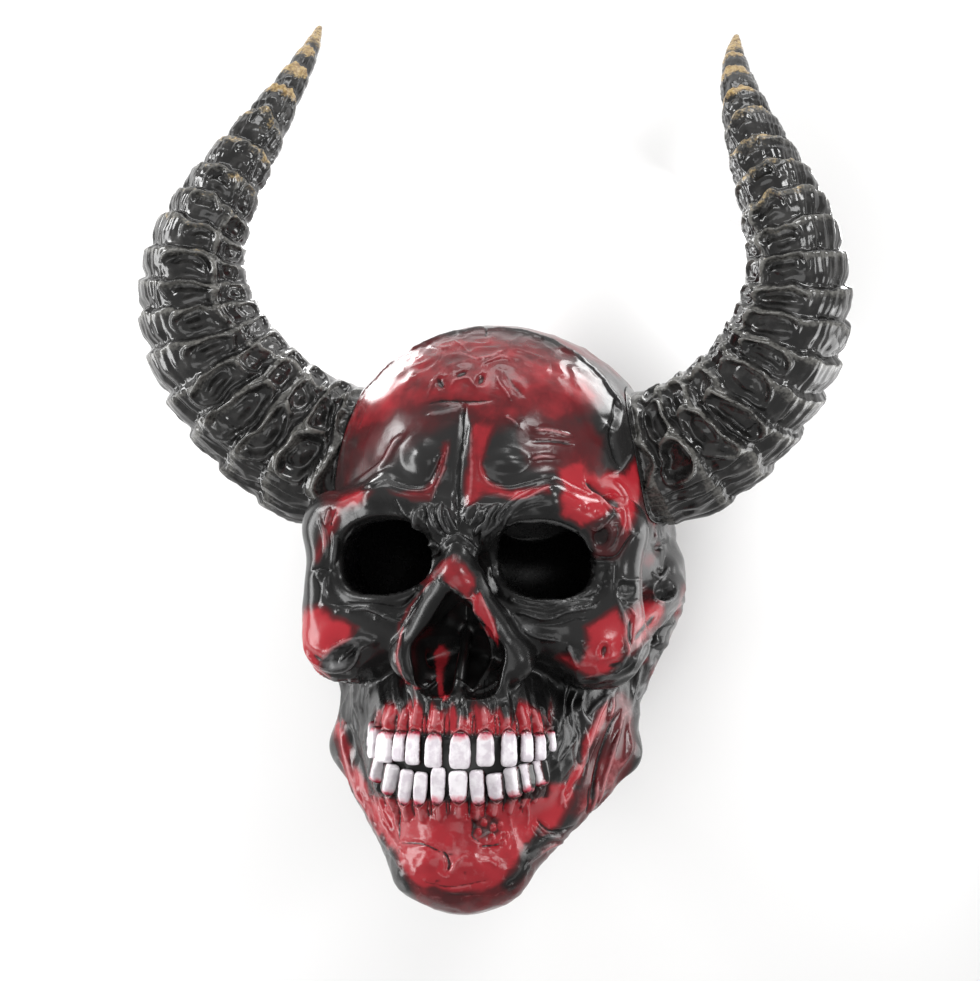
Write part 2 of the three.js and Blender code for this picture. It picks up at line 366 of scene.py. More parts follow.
def lining_clay():
    """The hollow inside the skull, a wall's thickness within its outer form."""
    clay = Clay(*(places(start, (end, BACK_STEP)) for start, end in ((0, 114), (-207, 141), (-108, 132))))
    clay.add(CRANIUM, inset=WALL)
    clay.add(SIDES, fillet=22, inset=WALL)
    clay.add(MUZZLE, fillet=12, inset=FACE_WALL)
    clay.add(JAW, fillet=16, inset=WALL)
    clay.add(CHEEKBONES, fillet=10, inset=WALL + 2)
    clay.carve(NOSE_HOLLOW, fillet=4, inset=-WALL)
    clay.carve(ORBIT, fillet=4, inset=-WALL)
    return clay.mirrored()


def eye_distance(side, x, y):
    """Distance to the edge of an eye hole, negative in the hole."""
    middle, height, half_width, half_height = EYE_HOLES[side]
    x = x - middle
    y = y - height + EYE_DROOP * side * x
    share = (np.abs(x / half_width) ** EYE_POWER + np.abs(y / half_height) ** EYE_POWER) ** (1 / EYE_POWER)
    return (share - 1) * min(half_width, half_height)


def neck_distance(y, z):
    """How far a place is above the neck opening's edge."""
    edge = np.interp(z, *zip(*NECK_EDGE))
    return (y - edge) * NECK_SLANT


def shell_clay():
    """The skull with lips round its eye holes, and the shell that is left of it."""
    skin = skull_clay()
    x, y, z = skin.axes
    out = z[None, None, :]
    holes = np.minimum(eye_distance(1, x[:, None], y[None]), eye_distance(-1, x[:, None], y[None]))
    holes = np.where(np.abs(x[:, None]) < EYE_BRIDGE, skin.FAR, holes).astype(np.float32)[:, :, None]
    holes = np.maximum(holes, np.where(out > EYE_END, 0, skin.FAR).astype(np.float32))
    lip = np.sqrt((holes - LIP) ** 2 + (skin.field + LIP_DEPTH) ** 2) - LIP
    skin.field = join(skin.field, lip, LIP_FILLET)
    shell = Clay(*skin.axes)
    hollow = np.maximum(lining_clay().values_on(skin.axes), -BACK + WALL - out)
    shell.field = np.maximum(skin.field, -hollow)
    shell.field = np.maximum(shell.field, -holes)
    shell.field = np.maximum(shell.field, -BACK - out)
    neck = neck_distance(y[:, None], z[None, :]).astype(np.float32)[None]
    shell.field = np.maximum(shell.field, -neck)
    return skin, shell


# The photograph's view of the mask

def view_axes():
    """The view's right, up and backward directions in the mask frame."""
    back = np.array((math.sin(VIEW_TURN), 0, math.cos(VIEW_TURN)))
    level = np.array((math.cos(VIEW_TURN), 0, -math.sin(VIEW_TURN)))
    crown = np.array((0, 1, 0))
    right = math.cos(VIEW_ROLL) * level + math.sin(VIEW_ROLL) * crown
    up = math.cos(VIEW_ROLL) * crown - math.sin(VIEW_ROLL) * level
    return right, up, back


def eye_point():
    """Where the view is taken from, in the mask frame."""
    right, up, back = view_axes()
    aside = (MIDDLE_PIXEL[0] - EYE_PIXEL[0]) * PIXEL
    above = (EYE_PIXEL[1] - MIDDLE_PIXEL[1]) * PIXEL
    return right * aside + up * above + back * VIEW_DISTANCE


def seen(places):
    """How far right of and above the middle of the eyes places show, in millimetres at the face."""
    right, up, back = view_axes()
    away = places - eye_point()
    scale = (VIEW_DISTANCE - FACE_DEPTH) / -(away @ back)
    start = -eye_point() * (VIEW_DISTANCE - FACE_DEPTH) / VIEW_DISTANCE
    return (away @ right) * scale - start @ right, (away @ up) * scale - start @ up


# Curves, fades and noise

def spline(points, steps):
    """Places along a smooth curve through points, in so many steps from one to the next."""
    p = np.array(points, float)
    p = np.concatenate((2 * p[:1] - p[1:2], p, 2 * p[-1:] - p[-2:-1]))
    span = np.linalg.norm(np.diff(p, axis=0), axis=1) ** 0.5
    t = np.arange(steps)[:, None] / steps
    made = []
    for k in range(1, len(p) - 2):
        a, b, c, d = p[k - 1:k + 3]
        before, here, after = span[k - 1:k + 2]
        leave = ((b - a) / before - (c - a) / (before + here) + (c - b) / here) * here
        arrive = ((c - b) / here - (d - b) / (here + after) + (d - c) / after) * here
        bend = (2 * b - 2 * c + leave + arrive) * t ** 3
        made.append(b + leave * t + (3 * c - 3 * b - 2 * leave - arrive) * t ** 2 + bend)
    return np.concatenate(made + [p[-2:-1]])


def fade(value, start, end):
    """0 up to start, 1 from end on, and smooth between."""
    t = np.clip((value - start) / (end - start), 0, 1)
    return t * t * (3 - 2 * t)


NOISE_REPEAT = 32


def noise(places, size, seed):
    """Smooth noise between -1 and 1 whose lumps have a size, the same or one for each axis."""
    table = np.random.default_rng(seed).uniform(-1, 1, [NOISE_REPEAT] * 3).astype(np.float32)
    q = places / np.array(size, np.float32)
    low = np.floor(q)
    share = (q - low).astype(np.float32)
    share = share * share * (3 - 2 * share)
    low = low.astype(int)
    total = np.zeros(len(q), np.float32)
    for corner in np.ndindex(2, 2, 2):
        i, j, k = ((low + corner) % NOISE_REPEAT).T
        total += np.prod(np.where(corner, share, 1 - share), axis=1) * table[i, j, k]
    return total


def ridged(places, size, seed):
    """Noise folded into ridges: 1 along them, and down to -1 between them."""
    return 1 - 2 * np.abs(noise(places, size, seed))


def inside(u, v, corners, soft):
    """1 well inside an outline and 0 well outside, soft millimetres either side of its edge."""
    nearest = np.full(len(u), np.inf, np.float32)
    odd = np.zeros(len(u), bool)
    ends = np.roll(corners, -1, axis=0)
    for (au, av), (bu, bv) in zip(corners, ends):
        du, dv = bu - au, bv - av
        t = np.clip(((u - au) * du + (v - av) * dv) / (du * du + dv * dv), 0, 1)
        nearest = np.minimum(nearest, (u - au - t * du) ** 2 + (v - av - t * dv) ** 2)
        if dv:
            odd ^= ((av > v) != (bv > v)) & (u < du * (v - av) / dv + au)
    away = np.sqrt(nearest) * np.where(odd, 1, -1)
    return fade(away, -soft, soft)


class Sculpt:
    """The skull's skin while it is sculpted.

    Outer is 1 outside the shell and 0 on its lining, and front is 1 where the view sees the skin.
    Height is the relief to come, and crest and gully say how far a place is raised or sunk by it.
    """

    BAND = 3.0
    UNDERNEATH = 0.4

    def __init__(self, skin, shell):
        grid = openvdb.FloatGrid(self.BAND)
        grid.copyFromArray(np.clip(shell.field, -self.BAND, self.BAND))
        steps, _, self.quads = grid.convertToPolygons(0.0, 0.0)
        axes = [np.interp(steps[:, i], np.arange(len(axis)), axis) for i, axis in enumerate(skin.axes)]
        self.places = np.stack(axes, 1)
        self.outer = fade(np.abs(skin.values_at(steps)), 1.6, 0.5)
        self.height = np.zeros(len(steps), np.float32)
        self.crest = np.zeros(len(steps), np.float32)
        self.gully = np.zeros(len(steps), np.float32)
        self.settle()

    def settle(self):
        """Finds the normals and where each place shows."""
        corners = self.places[self.quads]
        faces = np.cross(corners[:, 2] - corners[:, 0], corners[:, 3] - corners[:, 1])
        count = len(self.places)
        total = np.zeros((count, 3))
        for k in range(4):
            for axis in range(3):
                total[:, axis] += np.bincount(self.quads[:, k], faces[:, axis], count)
        self.normals = total / np.maximum(np.linalg.norm(total, axis=1, keepdims=True), 1e-9)
        self.u, self.v = seen(self.places)
        self.front = self.outer * fade(self.normals @ view_axes()[2], 0.02, 0.22)

    def press(self):
        """Moves the skin by the relief so far."""
        self.places += self.normals * self.height[:, None]
        self.height[:] = 0
        self.settle()

    def near(self, low, high):
        """The places in front that show in a box of the seen frame."""
        here = (self.u > low[0]) & (self.u < high[0]) & (self.v > low[1]) & (self.v < high[1])
        return np.nonzero(here & (self.front > 0.01))[0]

    def along(self, path, width):
        """The places within width of a path, with their share of the width and what tapers it."""
        line = spline(path, 5)
        found = self.near(line.min(0) - width, line.max(0) + width)
        u, v = self.u[found], self.v[found]
        nearest = np.full(len(found), np.inf)
        place = np.zeros(len(found))
        for k, ((au, av), (bu, bv)) in enumerate(zip(line[:-1], line[1:])):
            du, dv = bu - au, bv - av
            t = np.clip(((u - au) * du + (v - av) * dv) / (du * du + dv * dv), 0, 1)
            away = (u - au - t * du) ** 2 + (v - av - t * dv) ** 2
            closer = away < nearest
            nearest[closer] = away[closer]
            place[closer] = (k + t)[closer] / (len(line) - 1)
        taper = np.sqrt(fade(np.minimum(place, 1 - place), -0.04, 0.22))
        share = np.sqrt(nearest) / (width * taper)
        kept = share < 1
        return found[kept], share[kept], taper[kept]

    def ridge(self, path, width, height):
        at, share, taper = self.along(path, width)
        raised = (1 - share ** 2) ** 2 * taper * self.front[at]
        self.height[at] = np.maximum(self.height[at], self.UNDERNEATH * self.height[at] + height * raised)
        self.crest[at] = np.maximum(self.crest[at], raised * min(1, height))

    def groove(self, path, width, depth):
        at, share, taper = self.along(path, width)
        sunk = (1 - share) ** 1.4 * taper * self.front[at]
        self.height[at] = np.minimum(self.height[at], self.UNDERNEATH * self.height[at] - depth * sunk)
        self.gully[at] = np.maximum(self.gully[at], sunk * min(1, depth))

    def oval(self, middle, radii, turn):
        """The places in an oval and their share of the way out to its edge."""
        most = max(radii)
        found = self.near(np.array(middle) - most, np.array(middle) + most)
        angle = math.radians(turn)
        u, v = self.u[found] - middle[0], self.v[found] - middle[1]
        across = (u * math.cos(angle) + v * math.sin(angle)) / radii[0]
        upward = (v * math.cos(angle) - u * math.sin(angle)) / radii[1]
        share = np.sqrt(across ** 2 + upward ** 2)
        kept = share < 1
        return found[kept], share[kept]

    def mound(self, middle, radii, height, turn=0):
        at, share = self.oval(middle, radii, turn)
        self.height[at] += height * (1 - share ** 2) ** 2 * self.front[at]

    def dent(self, middle, radii, depth, turn=0):
        at, share = self.oval(middle, radii, turn)
        sunk = fade(share, 1, 0.45) * self.front[at]
        self.height[at] -= depth * sunk
        self.gully[at] = np.maximum(self.gully[at], 0.7 * sunk)


# Painted areas: a name, half the width of the soft edge, the strength, and the outline as seen

RED_AREAS = (
    ("crown", 8, 0.68, ((-86, 76), (-82.5, 87), (-70, 100.5), (-53, 114), (-29.5, 122), (-7, 125),
        (15.5, 122), (36.5, 112), (51, 100.5), (58, 85), (46.5, 76), (33.5, 71.5), (15.5, 74.5),
        (3, 71.5), (-7, 67), (-14, 76), (-20.5, 82.5), (-38.5, 81.5), (-55.5, 76), (-70, 69),
        (-86, 60))),
    ("right forehead", 9, 0.36, ((-89, 76), (-89, 51), (-88, 33), (-79, 37.5), (-59, 51), (-42, 64.5),
        (-20.5, 73.5), (-14, 85), (-86, 85))),
    ("beside the groove", 2.5, 0.85, ((-16, 76), (-0.5, 71.5), (-6.5, 62.5), (-8.5, 51), (-6, 42),
        (6.5, 37), (26.5, 39.5), (29, 34.5), (8.5, 32), (-7, 34.5), (-14, 28.5), (-18.5, 28.5),
        (-18, 60))),
    ("bars", 5, 0.5, ((8.5, 76), (49, 77), (59, 62.5), (54.5, 46.5), (34.5, 46.5), (15.5, 48),
        (12, 62.5))),
    ("left brow patch", 3, 1.0, ((32, 48), (42, 51), (53.5, 46.5), (68, 46), (75, 55.5), (77, 40),
        (76, 23), (69, 9.5), (64.5, 22), (61.5, 26.5), (57, 21), (43.5, 15), (32, 23), (34.5, 36.5))),
    ("left brow corner", 4, 0.4, ((46.5, 17.5), (64.5, 22), (73.5, 13), (67, -1.5), (52.5, -1.5))),
    ("under the right boss", 3, 0.68, ((-62, 37), (-43, 36), (-35, 44.5), (-29.5, 63.5),
        (-25.5, 63.5), (-29, 49), (-36.5, 32), (-47.5, 31))),
    ("right brow", 4, 0.85, ((-96, 19.5), (-92.5, 28.5), (-86, 35), (-75.5, 38), (-69, 36.5),
        (-74.5, 28.5), (-86, 24), (-93.5, 8.5), (-99, -3), (-102.5, -3))),
    ("right temple", 6, 0.4, ((-99, 12), (-95, 51), (-89, 79), (-83.5, 79), (-86, 40), (-92.5, 23))),
    ("right cheek", 4, 1.0, ((-115, -29), (-100, -27), (-89.5, -32), (-77, -38), (-84.5, -46),
        (-92.5, -50.5), (-96.5, -56), (-97, -61.5), (-91.5, -69.5), (-103, -71.5), (-115, -61.5))),
    ("nose bone", 1.6, 0.74, ((-36, -7.5), (-30.5, -1.5), (-24.5, 1.5), (-17.5, -4.5), (-12, -14.5),
        (-14, -23.5), (-20.5, -19), (-27.5, -14), (-32.5, -10), (-41, -18), (-44.5, -15.5))),
    ("left nose edge", 1.4, 1.0, ((-14, -20), (-9.5, -18.5), (-4, -32), (-0.5, -44), (-2.5, -50.5),
        (-7, -42), (-10.5, -33), (-13.5, -29))),
    ("right nose edge", 1.2, 0.8, ((-41, -16), (-48, -28), (-53, -38), (-55, -49.5), (-54.5, -58.5),
        (-50, -67.5), (-43.5, -72.5), (-46, -73.5), (-52.5, -69), (-57, -58.5), (-57.5, -49.5),
        (-55, -37), (-49, -25))),
    ("septum", 1.2, 1.0, ((-36.5, -53.5), (-34, -48.5), (-29, -44.5), (-27, -53.5), (-30, -61.5),
        (-30, -69.5), (-28, -78), (-32, -79.5), (-35, -69.5), (-35.5, -61.5))),
    ("right jaw edge", 3, 0.85, ((-91, -79), (-84.5, -90), (-82, -101.5), (-74.5, -121.5),
        (-64.5, -133), (-60, -146), (-72.5, -146), (-81.5, -128), (-87.5, -110.5), (-91, -94))),
    ("left cheek", 3.5, 1.0, ((45.5, -39), (54.5, -34), (65, -26.5), (69, -38), (69.5, -47),
        (67.5, -57), (61, -63), (49, -65.5), (40, -61), (32, -54.5), (38.5, -53), (45.5, -58),
        (48.5, -49))),
    ("cheek arch", 4, 0.75, ((69, -30), (79, -22), (85, -24.5), (93.5, -25), (98, -21), (91.5, -32),
        (82.5, -43.5), (72.5, -54), (68, -54.5), (70.5, -44.5))),
    ("ear", 4, 0.5, ((78.5, 5), (83, 2.5), (84, -8.5), (83.5, -20), (77, -20), (77, -7.5))),
    ("left jaw", 5, 0.6, ((54.5, -84), (63.5, -74), (72.5, -72.5), (79, -67), (88, -60.5), (86, -76),
        (76, -87.5), (76, -103), (73.5, -114), (63.5, -129), (50, -143.5), (43, -148), (40, -140),
        (45.5, -125.5), (51, -109.5), (52, -96))),
    ("left jaw ridge", 2.5, 1.0, ((42, -112), (47, -96), (54, -84), (59.5, -78.5), (57.5, -92),
        (50.5, -103), (46, -116.5), (38.5, -131), (33, -130))),
    ("chin", 4, 1.0, ((-76.5, -122), (-69.5, -132.5), (-59.5, -134), (-44.5, -137), (-32.5, -140.5),
        (-7, -138.5), (4.5, -134), (15, -129), (25.5, -123), (36, -124.5), (43, -129), (37, -139.5),
        (32.5, -147.5), (22, -152), (14, -160.5), (9, -170), (2.5, -179), (-9, -184), (-25.5, -184.5),
        (-42, -182), (-49, -177), (-56, -165), (-66.5, -152), (-73.5, -136))),
    ("under the chin", 4, 0.6, ((-51, -174.5), (-42, -180.5), (-25.5, -183.5), (2.5, -179),
        (28, -166), (35, -165), (13, -189.5), (-7, -197.5), (-27, -200), (-46.5, -192))),
    ("beside the chin", 4, 0.42, ((11.5, -178), (17.5, -164), (32.5, -152), (48.5, -140.5),
        (52, -143), (32.5, -170), (16.5, -185))),
    ("right cheek edge", 3, 1.0, ((-108, -29), (-95.5, -29), (-92.5, -41), (-97, -49.5),
        (-100.5, -61.5), (-95.5, -69), (-103, -67.5), (-108, -61.5), (-108, -44))),
)
# Dark over the red in a fold of the chin, a dent of the left cheek, under the left cheek and on a nostril's
# wall: partly dark paint, partly painted shade in these hollows
DARK_AREAS = (
    ("left fold of the chin", 3, 0.7, ((0, -183.5), (10.5, -167.5), (16.5, -157), (22, -144.5),
        (27, -150), (22, -162.5), (14, -173.5), (9.5, -187))),
    ("cheek patch", 2, 0.9, ((65, -11), (74, -11.5), (75, -21.5), (70.5, -25.5), (65, -22.5))),
    ("under the left cheek", 2.5, 0.9, ((34, -62.5), (49, -67), (63.5, -65), (72.5, -54.5), (76, -58),
        (70, -67), (61, -71.5), (45.5, -71.5), (32, -68))),
    ("right nostril wall", 3, 0.5, ((-54, -37), (-48, -28), (-46, -32), (-50, -42), (-52, -49.5))),
)
# Black wherever the red hasn't been sprayed, deeper than the soot: partly black paint and partly painted
# shade in the hollows round the eyes and nose and beside the teeth
BLACK_AREAS = (
    ("round the eyes and nose", 6, 0.62, ((-101.5, 6.5), (-92.5, 27), (-69.5, 34.5), (-40.5, 33),
        (-23.5, 22.5), (0.5, 31), (31, 30), (53, 18), (63, -1.5), (64, -19), (50, -30), (31, -39),
        (36.5, -61), (55.5, -69.5), (53, -85), (33.5, -97.5), (36.5, -127.5), (25, -133), (-65, -133),
        (-80.5, -111), (-87, -81), (-69.5, -73), (-48.5, -56.5), (-56.5, -43), (-87, -30),
        (-102.5, -12.5))),
    ("right of the teeth", 3, 1.0, ((-93, -69.5), (-64, -69.5), (-68, -85), (-72, -111), (-79, -111),
        (-90, -92))),
    ("left of the teeth", 5, 0.85, ((30, -66), (50, -70), (44, -100), (36, -125), (27, -127), (28, -100))),
)
# Rubbed pale, partly rubbed paint and partly painted highlights and sheen; those stronger than 1 are painted
# highlights that also clear the painted shade
RUB_AND_HIGHLIGHT_AREAS = (
    ("cheek arch", 5, 0.75, ((62.5, -21.5), (77.5, -10.5), (102, -10.5), (102, -21.5), (86.5, -37),
        (73.5, -57), (66.5, -61), (65.5, -39))),
    ("left jaw strands", 4, 0.6, ((53.5, -72), (62.5, -68), (84.5, -63.5), (86.5, -74.5), (75.5, -90),
        (75.5, -105), (64.5, -127), (53.5, -131.5), (44.5, -131.5), (55.5, -105), (60, -85.5))),
    ("right cheek rim", 1.5, 0.9, ((-98.5, -60), (-95, -53.5), (-84.5, -47), (-71, -40.5),
        (-64.5, -45), (-68.5, -50.5), (-78.5, -49), (-88, -56.5), (-88, -64), (-95.5, -65))),
    ("left cheek streak", 1.5, 1.6, ((12.5, -38), (17, -36), (33.5, -42.5), (34.5, -45.5),
        (22.5, -43.5))),
    ("chin", 6, 0.6, ((-47.5, -140), (-16, -137.5), (5, -158.5), (-3, -176.5), (-37, -176.5),
        (-52.5, -161))),
    ("right cheek leaf", 1.5, 1.6, ((-98.5, -60), (-95.5, -52.5), (-86.5, -46.5), (-76.5, -43),
        (-69, -44), (-69, -49), (-76.5, -52.5), (-82.5, -60), (-92.5, -63.5))),
    ("left cheek leaf", 1, 1.6, ((38.5, -47.5), (40.5, -48.5), (44, -58), (42.5, -59.5), (40, -54.5))),
)


# The relief, region by region. A ridge or groove has its path as seen, its width and its height or
# depth. A mound or dent has its middle as seen, its two radii, its height or depth and its turn.

def forehead(s):
    """The groove down the middle, the two brow bosses, the dents and the bars between them."""
    s.groove(((-18.5, 84.5), (-19.5, 78), (-20, 68), (-21, 60), (-22, 51.5), (-22.5, 40), (-22.5, 29),
        (-23, 14.5)), 4.2, 2.2)
    s.groove(((-18, 85), (-19.5, 69), (-20.5, 56), (-22, 42.5), (-22, 29), (-22.5, 15.5)), 1.3, 1.4)
    s.ridge(((-27, 64.5), (-28, 57), (-30, 48), (-33.5, 40), (-36, 33.5), (-38, 28)), 1.4, 0.9)
    s.ridge(((-14.5, 78), (-15.5, 62.5), (-15, 49), (-15.5, 37), (-16.5, 24.5)), 2.6, 0.8)
    s.groove(((-40.5, 83.5), (-30, 85.5), (-16.5, 85), (-3, 86)), 2.2, 0.9)
    s.ridge(((-40, 78), (-30, 79), (-19.5, 81.5)), 2.6, 1.0)
    s.groove(((-33.5, 73.5), (-25.5, 75), (-20, 73.5)), 1.8, 0.5)
    s.dent((-32, 95), (2.4, 4.2), 1.4, 30)
    s.dent((-20.5, 100), (4.4, 2.0), 1.2, 30)
    s.dent((-10, 97), (2.2, 4.0), 1.2, -30)
    s.ridge(((-39, 88), (-35.5, 96), (-30, 100.5)), 1.6, 0.7)
    s.ridge(((-26.5, 91.5), (-24.5, 96), (-16.5, 97.5), (-13, 91.5)), 1.8, 0.8)
    s.ridge(((-1.5, 102.5), (0, 96), (4.5, 89.5), (7, 85)), 1.6, 0.8)
    s.groove(((2.5, 102.5), (8, 94), (14.5, 87)), 3.0, 0.6)
    s.mound((-41, 54.5), (14.5, 14), 4.2)
    s.ridge(((-60, 39.5), (-53.5, 37), (-44.5, 36), (-37, 38.5), (-33.5, 47), (-30, 56),
        (-27, 63.5)), 1.2, 0.8)
    s.groove(((-59, 42.5), (-50, 39.5), (-40, 40.5), (-35.5, 47), (-31.5, 57)), 1.6, 0.7)
    s.ridge(((-79, 40.5), (-70, 45.5), (-62.5, 52.5), (-57, 62.5), (-51, 68)), 2.8, 1.0)
    s.groove(((-79, 37), (-70, 38.5), (-61, 42.5)), 1.6, 0.8)
    s.mound((4, 53), (15, 8.5), 3.0)
    s.ridge(((-10, 63.5), (-10.5, 53.5), (-9.5, 45.5), (-4.5, 39.5), (4.5, 37), (14.5, 38.5),
        (23.5, 41.5), (31.5, 44.5)), 1.3, 0.8)
    s.groove(((-8, 45.5), (-3, 42), (4.5, 39.5), (14.5, 41.5), (25, 44)), 1.5, 0.6)
    s.ridge(((17.5, 69), (26, 69.5), (33.5, 68), (41, 66)), 1.8, 1.1)
    s.groove(((17, 63.5), (28, 63.5), (41.5, 61.5)), 2.4, 0.8)
    s.ridge(((17, 53.5), (23.5, 55), (32.5, 54.5)), 2.0, 1.1)
    s.ridge(((3, 77), (7, 75), (11.5, 71)), 1.4, 1.1)
    s.ridge(((-30, 115.5), (-21, 111.5), (-12, 108.5), (-6.5, 109), (0, 111.5), (4.5, 114)), 1.3, 0.9)
    s.ridge(((-10, 105), (-3, 108), (2.5, 109.5), (7, 107)), 1.2, 0.8)
    s.ridge(((-25.5, 118), (-19, 114.5), (-14.5, 109.5)), 1.1, 0.7)
    s.ridge(((-39, 115.5), (-32, 114), (-25.5, 114.5)), 1.2, 0.6)
    s.groove(((-26.5, 113.5), (-19, 110.5), (-10, 107)), 1.2, 0.6)
    s.groove(((-7.5, 125.5), (-7, 123.5), (-7.5, 120.5)), 1.2, 1.4)
    s.ridge(((59.5, 45.5), (65, 47), (69.5, 52.5), (73.5, 58)), 1.4, 1.4)
    s.ridge(((55, 69), (58.5, 72.5), (62, 71), (64.5, 68)), 1.4, 1.3)
    s.groove(((64, 88), (64.5, 78), (61.5, 68), (63, 58), (66, 49)), 3.6, 2.4)


def left_patch(s):
    """The folded dents of the red patch over the outer corner of the left eye hole."""
    s.groove(((47.5, 42), (51.5, 37), (61, 31.5), (67.5, 26.5)), 4.0, 2.4)
    s.ridge(((45, 42), (49.5, 36), (55, 32.5), (61, 26.5), (63.5, 24.5)), 1.4, 1.3)
    s.ridge(((62.5, 42), (67.5, 37), (70, 31.5), (68.5, 26)), 1.8, 1.4)
    s.mound((47.5, 27.5), (3.4, 3.4), 1.2)
    s.mound((55, 23.5), (2.4, 3.0), 1.2)
    s.ridge(((61.5, 25), (67.5, 26), (69, 21), (67.5, 14.5), (65, 9.5)), 1.2, 1.4)
    s.ridge(((70.5, 29.5), (71, 20.5), (72, 14.5), (74.5, 12.5), (78, 15.5)), 1.3, 1.2)
    s.dent((56, 11), (6, 8), 2.2, -20)
    s.ridge(((48.5, 17), (53.5, 14.5), (61, 21), (63.5, 24)), 1.2, 0.8)
    s.groove(((61.5, 17), (65, 17), (63.5, 8.5), (59, 3)), 1.8, 0.8)
    s.ridge(((43, 14.5), (47.5, 10.5), (51.5, 3)), 1.6, 1.4)


def brow_leaves(s):
    """The leaf-shaped folds over the root of the nose, and the strands that sweep off them."""
    leaves = (
        (((-36.5, 6), (-42.5, 10.5), (-45.5, 17), (-45, 23), (-42.5, 27.5)), 3.4, 2.6),
        (((-25.5, 12), (-29.5, 15.5), (-32, 21), (-32.5, 26), (-31, 30.5)), 1.9, 1.9),
        (((-29.5, 11), (-33.5, 14.5), (-37, 20.5), (-38.5, 26), (-37.5, 29.5)), 1.6, 1.3),
        (((-23, 13.5), (-25.5, 18), (-28, 23), (-29, 27)), 1.4, 1.2),
        (((-17, 18.5), (-17, 23.5), (-14.5, 27), (-11, 29.5)), 1.4, 1.8),
        (((-16, 17), (-13, 21), (-11, 26), (-10.5, 29)), 1.2, 1.5),
        (((-14, 11), (-11, 16), (-7, 19.5), (-5.5, 24), (-0.5, 28.5)), 2.2, 2.2),
        (((-10.5, 6), (-9.5, 11), (-5.5, 14.5), (-1.5, 18), (-0.5, 23), (4.5, 28)), 1.8, 1.6),
        (((-1, 14.5), (0.5, 19.5), (5.5, 25.5), (11.5, 30.5), (17, 33)), 1.8, 1.8),
        (((-8.5, 7), (-8.5, 14.5), (-5.5, 23), (0, 29.5)), 2.2, 1.6),
        (((-0.5, 12), (3, 19.5), (9.5, 28), (17.5, 33), (25.5, 37), (31.5, 39)), 1.6, 1.4),
        (((-3, 16), (0.5, 23.5), (5.5, 29.5), (13, 34), (21.5, 38)), 1.5, 1.3),
        (((6.5, 25.5), (11.5, 29.5), (18, 32), (25.5, 34)), 1.3, 1.0),
    )
    for path, width, height in leaves:
        s.ridge(path, width, height)
    gaps = (
        (((-32, 5.5), (-37, 8.5), (-40, 14.5), (-41, 21), (-40, 27)), 1.3, 1.4),
        (((-28, 11), (-31.5, 14.5), (-34.5, 19.5), (-36, 25.5), (-35, 29.5)), 1.0, 1.2),
        (((-57.5, 33), (-54.5, 26), (-51.5, 21), (-48, 18)), 1.3, 1.4),
        (((-14.5, 20.5), (-13.5, 23.5), (-12, 27)), 1.0, 1.4),
        (((-15.5, 13.5), (-12, 18), (-8.5, 21), (-7, 25.5), (-4.5, 28.5)), 1.0, 1.2),
        (((-4.5, 7), (-3.5, 13.5), (0.5, 17), (1.5, 22), (7, 27)), 1.2, 1.2),
        (((3, 14.5), (6.5, 21), (12, 26), (19, 28.5), (28, 29.5)), 1.4, 1.0),
    )
    for path, width, depth in gaps:
        s.groove(path, width, depth)


def nose_bone(s):
    """The V crease, the edges of the nose opening and what shows inside it."""
    s.ridge(((-39, -1.5), (-34, 2.5), (-29.5, 7), (-25.5, 10.5), (-23, 12), (-19, 9.5), (-14, 5.5),
        (-7, -2.5)), 1.3, 1.3)
    s.groove(((-36.5, -3), (-32, 1), (-28, 6), (-23.5, 9), (-19.5, 7), (-15.5, 3),
        (-10.5, -3)), 1.5, 0.7)
    s.mound((-24.5, -5), (9, 10), 1.2)
    right_rim = ((-32, -12.5), (-37, -14), (-41.5, -20), (-45, -26), (-48.5, -31.5), (-51.5, -38.5),
        (-54, -46.5), (-55, -54.5), (-53, -62), (-49, -67.5), (-43, -72))
    left_rim = ((-31.5, -12.5), (-28, -15.5), (-24, -18), (-19.5, -21.5), (-14.5, -23), (-13, -30),
        (-9.5, -35), (-6, -41), (-3.5, -48.5), (-3.5, -56), (-6, -62.5), (-10.5, -68.5), (-14.5, -72.5))
    s.ridge(right_rim, 1.1, 1.4)
    s.ridge(left_rim, 1.1, 1.4)
    s.ridge(((-11, -18), (-8.5, -25), (-5.5, -31.5), (-2.5, -40), (-1.5, -48.5)), 1.8, 0.9)
    s.ridge(((-24, -66), (-19.5, -69.5), (-14.5, -73), (-10.5, -69.5)), 1.0, 1.2)
    s.ridge(((-45, -69.5), (-41.5, -72.5), (-37, -70), (-34, -67)), 1.2, 1.6)
    s.mound((-39.5, -69.5), (4, 3), 1.8)
    s.ridge(((-41.5, -75), (-39.5, -78.5), (-36.5, -76)), 1.0, 1.0)
    s.ridge(((-31.5, -79.5), (-28, -81.5), (-24, -79.5)), 1.1, 1.2)
    s.ridge(((-17, -75), (-11, -73.5), (-5.5, -72), (0.5, -67)), 1.2, 0.9)


